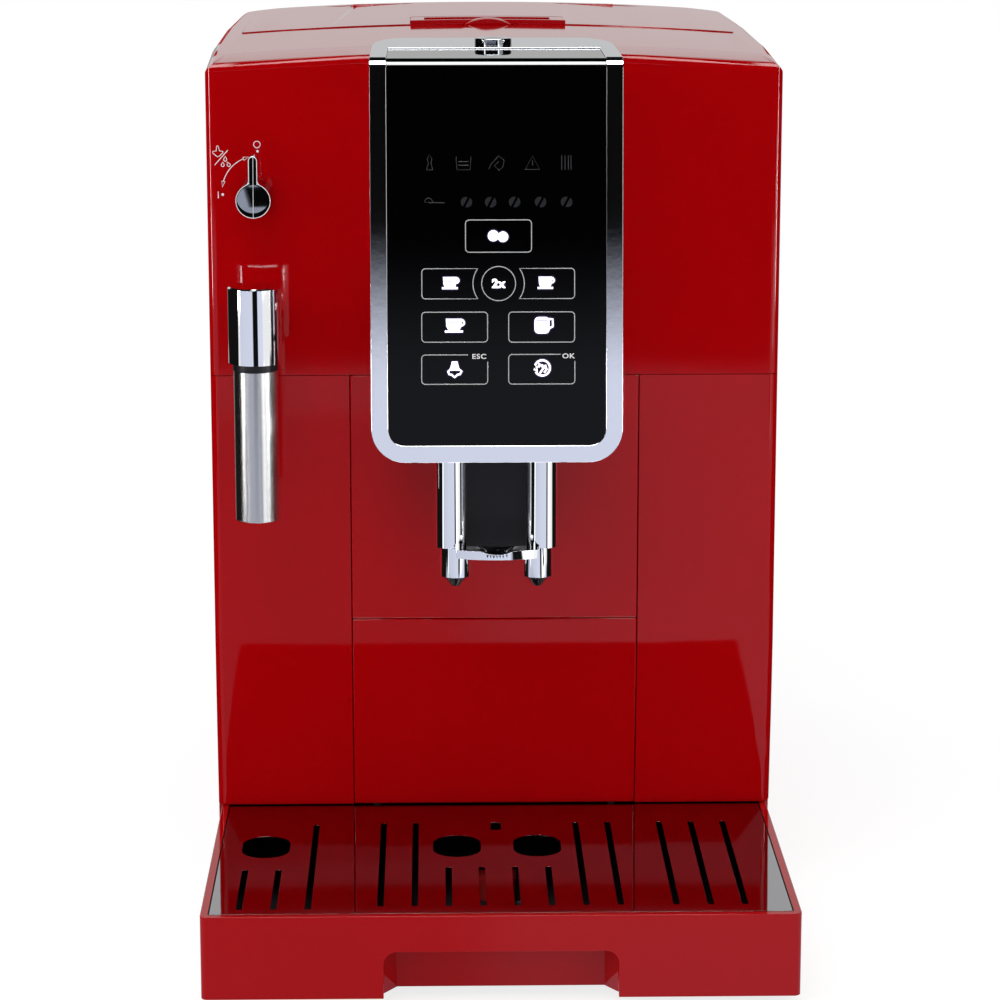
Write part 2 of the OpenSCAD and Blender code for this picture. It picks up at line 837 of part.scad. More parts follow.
module thumb_bar() {
  inner = spout_w / 2 - column_w;
  z0 = column_h0 - 3;
  color("#d9dce0") difference() {
    intersection() {
      translate([0, 0, z0]) linear_extrude(bar_h) union() {
        translate([-inner, fy - bar_out]) square([2 * inner, bar_out - bar_back]);
        for (s = [-1, 1]) translate([s * inner, fy - bar_out + 4]) circle(4);
        translate([-inner - 4, fy - bar_out + 4]) square([2 * inner + 8, bar_out - column_front - 1]);
      }
      translate([0, fy - bar_out + 40, z0 - 1]) cylinder(r = 40, h = bar_h + 2, $fn = 128);
    }
    translate([0, fy - column_front - 1.5, z0 + bar_h + 13]) sphere(15.5, $fn = 96);
    column_forms();
  }
}

// ---------------------------------------------------------------- drip tray

// Outline of the tray's painted front from above
module tray_plan(inset) {
  half = tray_half - inset;
  y0 = front_y + inset;
  r = max(2.6 - inset, 0.4);
  translate([-half + r, y0]) square([2 * (half - r), r + 1]);
  translate([-half, y0 + r]) square([2 * half, tray_back - y0 - r]);
  for (s = [-1, 1]) translate([s * (half - r), y0 + r]) circle(r);
}

module recess_outline(grow) {
  w = recess_w + 2 * grow;
  top = tray_h0 + recess_h + grow;
  translate([-w / 2, -5]) square([w, top - 5 + 5]);
  translate([-w / 2 + 5, -5]) square([w - 10, top + 5]);
  for (s = [-1, 1]) translate([s * (w / 2 - 5), top - 5]) circle(5);
}

module tray_front() {
  color("#9c0a12") difference() {
    union() {
      difference() {
        translate([0, 0, tray_h0]) linear_extrude(tray_h - tray_h0) tray_plan(0);
        translate([0, 0, -1]) linear_extrude(tray_h + 2) intersection() {
          tray_plan(tray_t);
          translate([-far / 2, -far / 2]) square([far, far]);
        }
        block([-far / 2, tray_back - 1, 0], [far / 2, far, far]);
      }
      intersection() {
        front_view(front_y, front_y + recess_d + tray_t) recess_outline(tray_t);
        block([-far / 2, front_y + 0.5, tray_h0 + 0.4], [far / 2, front_y + recess_d + tray_t, tray_h0 + recess_h + tray_t]);
      }
    }
    intersection() {
      front_view(front_y - 1, front_y + recess_d) recess_outline(0);
      translate([0, front_y, 0]) linear_extrude(tray_h) polygon([
        [-recess_w / 2 - 1, -1], [recess_w / 2 + 1, -1], [recess_w / 2 + 1, tray_t],
        [recess_w / 2 - recess_slant, recess_d], [-recess_w / 2 + recess_slant, recess_d], [-recess_w / 2 - 1, tray_t]]);
    }
    front_view(front_y - 1, front_y + tray_t) recess_outline(0);
  }
}

// Outline of the tub from above: wide under the cup grid, narrower under the machine
module tub_plan(inset) {
  half = tray_half - tray_t - 0.2 - inset;
  y0 = front_y + tray_t + 0.2 + inset;
  translate([-half, y0]) square([2 * half, tray_back - 1 - inset - y0]);
  translate([-tub_half + inset, y0 + 10]) square([2 * (tub_half - inset), fy + tub_back - inset - y0 - 10]);
}

module tray_tub() {
  recess_back = front_y + recess_d + tray_t + 0.2;
  recess_side = recess_w / 2 + tray_t + 0.2;
  recess_top = tray_h0 + recess_h + tray_t + 0.2;
  color("#2b2b2d") {
    difference() {
      translate([0, 0, tub_h0]) linear_extrude(grid_z0 - tub_h0) tub_plan(0);
      difference() {
        translate([0, 0, floor_z]) linear_extrude(tray_h) tub_plan(tub_t);
        block([-recess_side - tub_t, front_y, 0], [recess_side + tub_t, recess_back + tub_t, recess_top + tub_t]);
      }
      block([-recess_side, front_y, 0], [recess_side, recess_back, recess_top]);
    }
    for (s = [-1, 1]) scale_x(s)
      block([rib_x, grid_y1 + 2, floor_z - eps], [rib_x + 3, fy + tub_back - tub_t, rib_top]);
    for (s = [-1, 1]) scale_x(s)
      block([8.3, float_y - 14, floor_z - eps], [9.8, float_y + 12, floor_z + 14]);
    for (x = [-61, 61]) block([x - 1, front_y + 40, floor_z - eps], [x + 1, fy - 10, grid_z0]);
  }
}

// One slot of the cup grid, from y0 back to y1
module slot(x, y0, y1) {
  translate([x - slot_w / 2, y0 + slot_w / 2]) square([slot_w, y1 - y0 - slot_w]);
  for (y = [y0 + slot_w / 2, y1 - slot_w / 2]) translate([x, y]) circle(slot_w / 2);
}

// One oblong finger hole of the cup grid
module finger_hole(x, y) {
  translate([x, y]) rounded(hole_w, hole_l, hole_w / 2 - 0.01);
}

// Every opening of the cup grid
module grid_openings() {
  for (k = [2.5, 3.5], s = [-1, 1]) slot(s * k * slot_pitch, slot_y1, fy - 16);
  for (k = [0.5, 1.5], s = [-1, 1]) slot(s * k * slot_pitch, slot_y1, fy - 73);
  for (k = [0:2]) slot(66.6 + k * slot_pitch, slot_y1, fy - 16);
  for (k = [1, 2]) slot(-72.8 - k * slot_pitch, slot_y1 - 3, fy - 75);
  slot(-72.8, slot_y1 - 3, fy - 18);
  for (x = [-92, -16, 16]) finger_hole(x, fy - 46.5);
  translate([-2.1, float_y - 5]) square([4.2, 10]);
}

module cup_grid() {
  color("#c9ccd0") translate([0, 0, grid_z0]) linear_extrude(grid_t) difference() {
    translate([-grid_half, grid_y0]) square([2 * grid_half, grid_y1 - grid_y0]);
    grid_openings();
  }
}

module level_float() {
  color("#c41a1a") {
    soft_block([-8, float_y - 12, floor_z], [8, float_y + 10, floor_z + 9], 3);
    block([-1.7, float_y - 4, floor_z + 9 - eps], [1.7, float_y + 4, grid_z0 - 4]);
  }
}

module grounds_bin() {
  color("#1c1c1e") difference() {
    intersection() {
      block([-bin_half, fy, bin_z0], [bin_half, bin_back, bin_z1]);
      front_form(wall);
    }
    intersection() {
      block([-bin_half + 2, fy, bin_z0 + 2], [bin_half - 2, bin_back - 2, bin_z1 + 1]);
      front_form(wall + 2);
    }
  }
}

module grounds_front() {
  color("#9c0a12") intersection() {
    body_wall(panel_h0, split_h - seam / 2);
    block([-centre_half, fy - 1, panel_h0], [centre_half, fy + 24, split_h - seam / 2]);
  }
}

// ---------------------------------------------------------------- steam side

module steam_knob() {
  lever_w = 3.6;
  color("#141416") {
    rod_y(-knob_x, knob_h, knob_r, fy - knob_out, fy - 1.2);
    rod_y(-knob_x, knob_h, knob_shaft_r, fy - 1.2 - eps, fy + wall + 12);
    front_view(fy - knob_out, fy - knob_out + 9) translate([-knob_x, knob_h]) {
      translate([-lever_w / 2, 0]) square([lever_w, pointer_l - lever_w / 2]);
      translate([0, pointer_l - lever_w / 2]) circle(lever_w / 2);
    }
  }
}

module steam_valve() {
  color("#b08a3c") difference() {
    union() {
      soft_block([-steam_x - 13, fy + wall, knob_h - 14], [-steam_x + 13, fy + wall + 26, knob_h + 14], 2);
      translate([-steam_x, fy + wall + 14, swivel_h + 8]) cylinder(r = 5, h = knob_h - swivel_h - 20);
      soft_block([-steam_x - 11, fy + wall, swivel_h - 11], [-steam_x + 11, fy + wall + 22, swivel_h + 11], 2);
    }
    rod_y(-knob_x, knob_h, knob_shaft_r + run_fit, fy, fy + wall + 13);
    rod_y(-steam_x, swivel_h, swivel_r + run_fit, fy, fy + wall + 13);
  }
}

module wand_cap() {
  color("#d9dce0") {
    translate([-steam_x, fy - wand_out, 0]) difference() {
      union() {
        translate([0, 0, cap_h0]) cylinder(r = cap_w / 2, h = cap_h1 - cap_h0 - cap_edge);
        translate([0, 0, cap_h1 - cap_edge - eps]) cylinder(r1 = cap_w / 2, r2 = cap_w / 2 - cap_edge, h = cap_edge);
      }
      translate([0, 0, cap_h0 - 1]) cylinder(r = pipe_d / 2, h = 11);
    }
    rod_y(-steam_x, swivel_h, swivel_r, fy - wand_out + cap_w / 2 - 2, fy + wall + 12);
    rod_y(-steam_x, swivel_h, swivel_r + 2.4, fy - wand_out + cap_w / 2 - 3, fy - 0.6);
  }
}

module wand_ring() {
  color("#141416") translate([-steam_x, fy - wand_out, sleeve_h1]) difference() {
    cylinder(r = sleeve_d / 2 + 0.3, h = ring_h);
    translate([0, 0, -1]) cylinder(r = pipe_d / 2, h = ring_h + 2);
  }
}

module steam_pipe() {
  color("#b9bcc0") translate([-steam_x, fy - wand_out, sleeve_h0 + 8]) difference() {
    cylinder(r = pipe_d / 2, h = cap_h0 + 10 - sleeve_h0 - 8);
    translate([0, 0, -1]) cylinder(r = pipe_d / 2 - 1.2, h = cap_h0 - sleeve_h0);
  }
}

module steel_sleeve() {
  color("#a9a9a6") translate([-steam_x, fy - wand_out, sleeve_h0]) difference() {
    cylinder(r = sleeve_d / 2, h = sleeve_h1 - sleeve_h0);
    translate([0, 0, -1]) cylinder(r = sleeve_d / 2 - sleeve_wall, h = sleeve_h1 - sleeve_h0 + 2);
  }
}

module sleeve_liner() {
  color("#1c1c1e") translate([-steam_x, fy - wand_out, sleeve_h0 + 1.5]) difference() {
    cylinder(r = sleeve_d / 2 - sleeve_wall, h = sleeve_h1 - sleeve_h0 - 1.5);
    translate([0, 0, -1]) cylinder(r = pipe_d / 2 + run_fit, h = sleeve_h1 - sleeve_h0 + 2);
    translate([0, 0, -1]) cylinder(r = sleeve_d / 2 - 3, h = 5);
  }
}

// ---------------------------------------------------------------- bean side

module bean_lid() {
  color("#a30d15") difference() {
    union() {
      difference() {
        intersection() {
          translate([0, 0, seam_h]) linear_extrude(far) intersection() {
            body_plan(lid_border);
            translate([-far / 2, fy + lid_y0]) square([far, lid_back - fy - lid_y0 - 0.8]);
          }
          difference() {
            under_crown(-lid_proud);
            under_crown(lid_t - lid_proud);
          }
        }
        flap_space(slide_gap);
        block([-flap_half, flap_y0, seam_h], [flap_half, flap_y1 + 0.8, far]);
        grip_notch(slide_gap);
      }
      for (s = [-1, 1]) {
        rod_x(hinge_y, hinge_z, knuckle_r, s * hinge_x - knuckle_w / 2, s * hinge_x + knuckle_w / 2);
        block([s * hinge_x - knuckle_w / 2, hinge_y - 5, hinge_z - knuckle_r],
          [s * hinge_x + knuckle_w / 2, hinge_y, hinge_z + knuckle_r - 1.2]);
      }
    }
    for (s = [-1, 1]) rod_x(hinge_y, hinge_z, pin_r + run_fit, s * hinge_x - 15, s * hinge_x + 15);
  }
}

// Place of the pre-ground flap in the lid
module flap_space(gap) {
  block([-flap_half - gap, flap_y0 - gap, seam_h], [flap_half + gap, flap_y1 + gap, far]);
}

// Place of the flap's finger grip in front of the flap
module grip_notch(gap) {
  translate([0, flap_y0 + 1, seam_h]) linear_extrude(far) intersection() {
    circle(grip_w / 2 + gap);
    translate([-grip_w, -7]) square([2 * grip_w, 10]);
  }
}

module preground_flap() {
  top = top_z(0, flap_y0) + lid_proud;
  color("#a30d15") {
    difference() {
      intersection() {
        block([-flap_half, flap_y0, seam_h], [flap_half, flap_axis_y, far]);
        difference() {
          under_crown(-lid_proud);
          under_crown(lid_t - lid_proud);
        }
      }
      block([-flap_half + 6, flap_y0 + 5, top - 1], [flap_half - 6, flap_axis_y - 4, far]);
    }
    intersection() {
      block([-flap_half, flap_y0, top - 2], [flap_half, flap_y0 + 1.8, top + lip_h]);
      under_crown(-lid_proud - lip_h);
    }
    intersection() {
      translate([0, flap_y0 + 1, top - 2.4]) cylinder(r = grip_w / 2, h = grip_h + 2.4);
      translate([0, flap_y0 + 1, top + grip_h - grip_dome]) sphere(grip_dome, $fn = 128);
      block([-grip_w, flap_y0 - 5, 0], [grip_w, flap_y0 + 3, far]);
    }
    rod_x(flap_axis_y, flap_axis_z, flap_pin_r, -flap_half, flap_half);
  }
}

module hinge_pins() {
  color("#b9bcc0") for (s = [-1, 1]) rod_x(hinge_y, hinge_z, pin_r, s * hinge_x - 14, s * hinge_x + 14);
}

// Outline of the mouth under the lid, from above
module mouth_plan(inset) {
  translate([0, (hopper_y0 + hopper_y1) / 2])
    rounded(2 * (hopper_half - inset), hopper_y1 - hopper_y0 - 2 * inset, hopper_r - inset);
}

// Outline of the hopper from above, which leaves room for the pre-ground funnel
module hopper_plan(inset) {
  difference() {
    mouth_plan(inset);
    translate([-funnel_half - 0.2 - inset, hopper_y0 - 1])
      square([2 * (funnel_half + 0.2 + inset), funnel_d + 1.2 + inset]);
  }
}

module bean_hopper() {
  slope = (hopper_half - grinder_x + 12 - throat_r) / (hopper_mid - hopper_bottom);
  color("#6e675e", 0.6) difference() {
    union() {
      intersection() {
        translate([0, 0, hopper_mid]) linear_extrude(far) hopper_plan(0);
        under_crown(roof + 0.2);
      }
      intersection() {
        translate([0, 0, hopper_bottom]) linear_extrude(hopper_mid - hopper_bottom + eps) hopper_plan(0);
        translate([grinder_x, grinder_y, hopper_bottom])
          cylinder(r1 = throat_r + 3, r2 = throat_r + 3 + slope * (hopper_mid - hopper_bottom), h = hopper_mid - hopper_bottom);
      }
    }
    difference() {
      translate([0, 0, hopper_mid]) linear_extrude(far) hopper_plan(hopper_wall);
      block([dial_x - 20, hopper_y1 - dial_inset - 20, hopper_mid - 1], [dial_x + 20, far, dial_z]);
    }
    translate([dial_x, hopper_y1 - dial_inset, hopper_mid - 1]) cylinder(r = 4 + run_fit, h = far);
    intersection() {
      translate([0, 0, hopper_bottom - 1]) linear_extrude(hopper_mid - hopper_bottom + 2) hopper_plan(hopper_wall);
      translate([grinder_x, grinder_y, hopper_bottom])
        cylinder(r1 = throat_r, r2 = throat_r + slope * (hopper_mid - hopper_bottom), h = hopper_mid - hopper_bottom + eps);
    }
    translate([grinder_x, grinder_y, hopper_bottom - 1]) cylinder(r = throat_r, h = 4);
  }
}

module preground_funnel() {
  y0 = hopper_y0;
  z_mid = hopper_top - 42;
  y_tube = y0 + funnel_d / 2;
  color("#1c1c1e") difference() {
    union() {
      block([-funnel_half, y0, z_mid], [funnel_half, y0 + funnel_d, hopper_top]);
      translate([16, y_tube, infuser_z1 + 12]) cylinder(r = 9, h = z_mid - infuser_z1 - 12 + eps);
    }
    block([-funnel_half + 1.6, y0 + 1.6, z_mid + 2], [funnel_half - 1.6, y0 + funnel_d - 1.6, far]);
    translate([12, y_tube, infuser_z1]) cylinder(r = 7.4, h = far / 2);
  }
}

module grinder_dial() {
  color("#1c1c1e") translate([dial_x, hopper_y1 - dial_inset, dial_z + 0.2]) {
    difference() {
      cylinder(r = 15, h = 5);
      for (a = [0:30:330]) rotate([0, 0, a]) translate([16.4, 0, -1]) cylinder(r = 2.4, h = 7);
    }
    translate([0, 0, -10]) cylinder(r = 4, h = 10 + eps);
    translate([-1.2, -13, 5 - eps]) cube([2.4, 26, 2]);
  }
}

module grinder_body() {
  color("#3a3a3e") translate([grinder_x, grinder_y, grinder_h0]) difference() {
    cylinder(r = grinder_r, h = grinder_h1 - grinder_h0);
    translate([0, 0, 6]) cylinder(r = burr_r + 1, h = far);
    translate([0, 0, -1]) cylinder(r = 4 + run_fit, h = 10);
    translate([0, -grinder_r + 4, 12]) rotate([90, 0, 0]) cylinder(r = 7, h = 20, center = true);
  }
}

module grinder_burr() {
  color("#8f9296") translate([grinder_x, grinder_y, grinder_h0 + 6.2]) {
    difference() {
      cylinder(r1 = burr_r, r2 = burr_r - 8, h = 24);
      for (k = [0:11]) rotate([0, 0, k * 30]) translate([burr_r - 4, 0, 8])
        rotate([0, 22, 24]) translate([0, 0, 10]) cube([6, 2.4, 40], center = true);
    }
    translate([0, 0, -10]) cylinder(r = 4, h = 10 + eps);
  }
}

module grinder_motor() {
  color("#77797d") translate([grinder_x, grinder_y, motor_h0]) difference() {
    union() {
      cylinder(r = motor_r, h = grinder_h0 - motor_h0);
      cylinder(r = motor_r + 3, h = 8);
      translate([0, 0, grinder_h0 - motor_h0 - 6]) cylinder(r = motor_r + 3, h = 6);
    }
    translate([0, 0, grinder_h0 - motor_h0 - 5]) cylinder(r = 4.6, h = 8);
  }
}

module grinder_stand() {
  color("#26262a") translate([grinder_x, grinder_y, deck_top]) difference() {
    cylinder(r = motor_r + 3, h = motor_h0 - deck_top);
    translate([0, 0, 3]) cylinder(r = motor_r - 1, h = motor_h0 - deck_top - 6);
    translate([0, 0, -1]) cylinder(r = motor_r - 12, h = far);
    for (a = [0, 90]) rotate([0, 0, a]) block([-12, -60, 12], [12, 60, motor_h0 - deck_top - 12]);
  }
}

// ---------------------------------------------------------------- inner frame

module deck() {
  left = -bow_x(deck_side_front) + wall + 1;
  color("#26262a") {
    difference() {
      union() {
        block([left, deck_side_front, deck_z0], [-bin_half - 4, deck_back, deck_top]);
        block([-bin_half - 4 - eps, deck_front, deck_z0], [bay_x0, deck_back, deck_top]);
      }
      for (x = [-30:20:30]) block([x, deck_front + 14, deck_z0 - 1], [x + 10, deck_front + 60, deck_top + 1]);
      curved_sides_cut();
    }
  }
}

// Keeps inner plates inside the bowed walls
module curved_sides_cut() {
  difference() {
    block([-far / 2, fy - 1, 0], [far / 2, far, far]);
    translate([0, 0, -1]) linear_extrude(far) body_plan(wall + 0.3);
  }
}

module tank_bay() {
  x1 = bow_x(fy + tank_y0) - wall - 0.4;
  y0 = fy + tank_y0;
  y1 = fy + tank_y1;
  color("#26262a") difference() {
    union() {
      block([bay_x0, y0 - bay_t, deck_z0], [bay_x1, y1 + bay_t, bay_top]);
      block([bay_x1 - eps, y0 - bay_t, bay_floor - bay_t], [x1, y1 + bay_t, bay_floor]);
      block([bay_x1 - eps, y0 - bay_t, bay_floor - eps], [x1, y0 - 0.1, bay_top]);
      block([bay_x1 - eps, y1 + 0.1, bay_floor - eps], [x1, y1 + bay_t, bay_top]);
      block([bay_x0, y1 - 40, base_top], [bay_x1, y1, deck_z0 + eps]);
      rod_x(valve_y, valve_z, valve_r + 3, bay_x0 - 9, bay_x0 + eps);
    }
    block([bay_x0 - 1, infuser_y0 - 6, infuser_z0 - 6], [bay_x1 + 1, infuser_y1 + 6, infuser_z1 + 6]);
    rod_x(valve_y, valve_z, valve_r + run_fit, bay_x0 - 7, bay_x1 + 1);
  }
}

module infuser_door() {
  color("#3a3a3e") difference() {
    block([bay_x1, infuser_y0 - 8, infuser_z0 - 8], [bay_x1 + door_t, infuser_y1 + 8, infuser_z1 + 8]);
    translate([bay_x1 + door_t, (infuser_y0 + infuser_y1) / 2, infuser_z1 - 18]) sphere(9);
  }
}

module infuser() {
  x0 = brew_x0 + 5;
  x1 = bay_x0 - 1;
  xc = (x0 + x1) / 2;
  yc = (infuser_y0 + infuser_y1) / 2;
  color("#c8b48c") {
    difference() {
      soft_block([x0, infuser_y0 + 1, infuser_z0], [x1, infuser_y1 - 1, infuser_z0 + 34], 4);
      block([x0 + 6, infuser_y0 + 8, infuser_z0 + 6], [x1 - 6, infuser_y1 - 8, infuser_z0 + 60]);
    }
    for (y = [infuser_y0 + 4, infuser_y1 - 12]) block([x0 + 4, y, infuser_z0 + 34 - eps], [x0 + 12, y + 8, infuser_z1 - 20]);
    translate([xc, yc, infuser_z0 + 6 - eps]) cylinder(r = 19, h = 60);
    block([x0 + 4, infuser_y0 + 4, infuser_z1 - 24], [x0 + 12, infuser_y1 - 4, infuser_z1 - 20 + eps]);
    translate([xc, yc, infuser_z0 + 66 - eps]) difference() {
      cylinder(r = 22, h = 40);
      translate([0, 0, 4]) cylinder(r = 18.5, h = 40);
    }
  }
}

module brew_frame() {
  color("#3a3a3e") difference() {
    block([brew_x0, infuser_y0 - 5, deck_top], [bay_x0, infuser_y1 + 5, infuser_z1 + 12]);
    block([brew_x0 + 4, infuser_y0, infuser_z0 - slide_gap], [bay_x0 + 1, infuser_y1, infuser_z1]);
    block([brew_x0 + 4, infuser_y0 + 6, deck_top + 4], [bay_x0 - 6, infuser_y1 - 6, infuser_z0 - 4]);
    translate([16, hopper_y0 + funnel_d / 2, infuser_z1 - 1]) cylinder(r = 7.4, h = 20);
    rod_x((infuser_y0 + infuser_y1) / 2, infuser_z0 + 20, 4 + run_fit, brew_x0 - 1, brew_x0 + 5);
    block([brew_x0 - 1, infuser_y0 - 6, deck_top + 8], [brew_x0 + 3, infuser_y0 + 20, infuser_z0 - 10]);
  }
}

module brew_motor() {
  yc = (infuser_y0 + infuser_y1) / 2;
  z = infuser_z0 + 20;
  color("#77797d") {
    rod_x(yc - 14, z - 20, 13, brew_x0 - 44, brew_x0 - 8);
    block([brew_x0 - 8 - eps, yc - 30, z - 36], [brew_x0, yc + 10, z + 12]);
    rod_x(yc, z, 4, brew_x0 - eps, brew_x0 + 3.6);
  }
}

module thermoblock() {
  x = -84;
  y = deck_side_front + 34;
  color("#a9acb0") translate([x, y, deck_top]) {
    for (k = [0:10]) translate([0, 0, 6 + k * 11]) cylinder(r = 24, h = 4);
    cylinder(r = 19, h = 128);
    cylinder(r = 22, h = 6 + eps);
    for (s = [-1, 1]) translate([s * 8, 0, 128 - eps]) cylinder(r = 3, h = 9);
  }
}

module water_pump() {
  z = deck_top + 23;
  y = deck_back - 22;
  color("#77797d") {
    rod_x(y, z, 18, -88, -34);
    rod_x(y, z, 10, -34 - eps, -14);
    rod_x(y, z, 3, -14 - eps, -4);
    rod_x(y, z, 5, -98, -88 + eps);
  }
}

module pump_mounts() {
  z = deck_top + 23;
  y = deck_back - 22;
  color("#1c1c1d") for (x = [-82, -46]) difference() {
    block([x - 4, y - 20, deck_top], [x + 4, y + 20, z + 4]);
    rod_x(y, z, 18, x - 5, x + 5);
    block([x - 5, y - 18, z], [x + 5, y + 18, z + 5]);
  }
}

module flow_meter() {
  color("#d8d4c8") translate([22, deck_back - 24, deck_top]) {
    cylinder(r = 13, h = 14);
    translate([0, 0, 14 - eps]) cylinder(r = 9, h = 4);
    rod_x(0, 8, 2.5, -24, 0);
  }
}

module main_board() {
  y1 = back_y - wall;
  color("#1d5a35") {
    block([-30, y1 - 9.6, 100], [84, y1 - 8, 176]);
    for (x = [-24, 78], z = [106, 170]) rod_y(x, z, 3, y1 - 8 - eps, y1);
  }
  color("#2f2f33") {
    block([-10, y1 - 18, 112], [14, y1 - 9.6 + eps, 134]);
    block([36, y1 - 17, 140], [56, y1 - 9.6 + eps, 164]);
    for (k = [0:3]) rod_y(-16 + k * 12, 158, 4, y1 - 18, y1 - 9.6 + eps);
  }
}

module power_inlet() {
  color("#141416") difference() {
    union() {
      front_view(back_y - 18, back_y) translate([inlet_x, inlet_z]) rounded(27, 20, 2);
      front_view(back_y - wall - 2, back_y - wall) translate([inlet_x, inlet_z]) rounded(34, 26, 3);
    }
    front_view(back_y - 15, back_y + 1) translate([inlet_x, inlet_z]) rounded(24, 16.4, 2);
  }
  color("#c9ccd0") for (p = [[-7, -1.5], [0, 2.5], [7, -1.5]])
    block([inlet_x + p[0] - 1, back_y - 15 - eps, inlet_z + p[1] - 2], [inlet_x + p[0] + 1, back_y - 5.2, inlet_z + p[1] + 2]);
}

module rocker_switch() {
  color("#141416") difference() {
    union() {
      front_view(back_y - 12, back_y) translate([switch_x, inlet_z]) square([17.6, 12.6], center = true);
      translate([switch_x, pivot_y, inlet_z]) cylinder(r = pivot_r, h = 18.4, center = true);
    }
    translate([switch_x, back_y + 25.6, inlet_z]) cylinder(r = 26.6, h = 14, center = true, $fn = 128);
  }
}

module screws() {
  color("#9a9da1") for (x = [-rear_half + 8, rear_half - 8], z = [skirt_h + 12, shoulder_h - 12])
    difference() {
      union() {
        rod_y(x, z, 3.2, back_y - 1.4, back_y - 0.1);
        rod_y(x, z, 1.75, back_y - 9, back_y - 1.3);
      }
      for (a = [0, 90]) translate([x, back_y - 0.1, z]) rotate([0, a, 0]) cube([3.6, 1.8, 0.8], center = true);
    }
}

// ---------------------------------------------------------------- water tank

module tank_form(inset, z0, z1) {
  intersection() {
    translate([0, 0, z0]) linear_extrude(z1 - z0) body_plan(inset);
    block([tank_x0 + inset, fy + tank_y0 + 0.3 + inset, z0], [far, fy + tank_y1 - 0.3 - inset, z1]);
  }
}

module water_tank() {
  top = tank_h1 - 9;
  color("#5c6670", 0.5) difference() {
    tank_form(0, tank_h0, top);
    tank_form(tank_t, tank_h0 + tank_t, top + 1);
    rod_x(valve_y, valve_z, valve_r - 2, tank_x0 - 1, tank_x0 + tank_t + 1);
  }
}

module tank_lid() {
  top = tank_h1 - 9;
  color("#1c1c1e") difference() {
    union() {
      tank_form(0, top, tank_h1);
      tank_form(tank_t + 0.3, top - 4, top + eps);
    }
    tank_form(4, top - 5, top + 6);
    block([body_w / 2 - 16, fy + 140, tank_h1 - 5], [far, fy + 204, far]);
    translate([tank_x0 + mouth_r + 10, tank_y0 + fy + 40, tank_h1 - 5]) cylinder(r = mouth_r, h = 10);
  }
}

module tank_valve() {
  color("#1c1c1e") difference() {
    rod_x(valve_y, valve_z, valve_r, bay_x0 - 5, tank_x0);
    rod_x(valve_y, valve_z, valve_r - 2, bay_x0 - 6, tank_x0 + 1);
  }
}

base_pan();
feet();
left_side_panel();
right_side_panel();
rear_panel();
top_cover();
upper_fascia();
front_left_panel();
front_right_panel();
front_center_panel();
head_frame();
control_glass();
control_board();
spout_guide();
power_button();
spout_carrier();
spout_columns();
nozzle_tips();
thumb_bar();
tray_front();
tray_tub();
cup_grid();
level_float();
grounds_bin();
grounds_front();
steam_knob();
wand_cap();
wand_ring();
steam_pipe();
steel_sleeve();
sleeve_liner();
steam_valve();
bean_lid();
preground_flap();
hinge_pins();
bean_hopper();
preground_funnel();
grinder_dial();
grinder_body();
grinder_burr();
grinder_motor();
grinder_stand();
deck();
tank_bay();
infuser_door();
infuser();
brew_frame();
brew_motor();
thermoblock();
water_pump();
pump_mounts();
flow_meter();
main_board();
power_inlet();
rocker_switch();
water_tank();
tank_lid();
tank_valve();
screws();
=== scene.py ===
# Bean-to-cup espresso machine: finishes, softened edges, printed signs and the studio
import bpy, bmesh, json, math
from mathutils import Matrix, Vector


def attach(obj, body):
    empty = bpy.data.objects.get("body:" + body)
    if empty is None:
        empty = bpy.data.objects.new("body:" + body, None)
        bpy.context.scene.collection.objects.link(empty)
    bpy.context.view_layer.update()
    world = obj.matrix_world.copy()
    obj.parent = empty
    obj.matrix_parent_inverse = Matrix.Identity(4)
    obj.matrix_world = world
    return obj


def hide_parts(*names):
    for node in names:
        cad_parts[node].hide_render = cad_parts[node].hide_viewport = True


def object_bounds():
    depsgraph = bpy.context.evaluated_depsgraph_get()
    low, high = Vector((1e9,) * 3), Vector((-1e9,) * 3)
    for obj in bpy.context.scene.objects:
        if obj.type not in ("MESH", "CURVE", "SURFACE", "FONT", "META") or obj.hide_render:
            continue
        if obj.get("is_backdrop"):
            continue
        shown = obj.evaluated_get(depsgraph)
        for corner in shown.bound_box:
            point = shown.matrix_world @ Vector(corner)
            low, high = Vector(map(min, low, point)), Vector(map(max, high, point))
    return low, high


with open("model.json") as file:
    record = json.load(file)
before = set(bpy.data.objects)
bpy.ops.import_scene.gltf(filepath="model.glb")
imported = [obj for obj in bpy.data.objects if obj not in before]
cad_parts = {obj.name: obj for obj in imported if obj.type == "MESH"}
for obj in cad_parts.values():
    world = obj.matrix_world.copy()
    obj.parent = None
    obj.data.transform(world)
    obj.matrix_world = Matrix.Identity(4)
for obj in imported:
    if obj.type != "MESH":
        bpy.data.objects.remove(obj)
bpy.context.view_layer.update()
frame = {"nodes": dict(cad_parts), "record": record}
nodes = frame["nodes"]
print("frame loaded:", len(nodes), "nodes")

bodies = frame["record"]["behaviour"]["bodies"]
bodyOf = {name: body for body, members in bodies.items() for name in members}
slotOf = {part["node"]: part["material_slot"] for part in frame["record"]["subparts"]}

cameraView = {
    "place": (-0.0249, -1.3890, 0.4476),
    "pitchDown": 12.089,  # degrees below level
    "yawRight": 1.188,
    "lens": 118.72,
    "sensor": 36,
    "farthest": 60,
}


def makeCamera():
    data = bpy.data.cameras.new("studioCamera")
    data.lens = cameraView["lens"]
    data.sensor_width = cameraView["sensor"]
    data.sensor_fit = "HORIZONTAL"
    data.clip_end = cameraView["farthest"]
    camera = bpy.data.objects.new("studioCamera", data)
    bpy.context.scene.collection.objects.link(camera)
    camera.location = cameraView["place"]
    camera.rotation_euler = (math.radians(90 - cameraView["pitchDown"]), 0,
                             -math.radians(cameraView["yawRight"]))
    bpy.context.scene.camera = camera


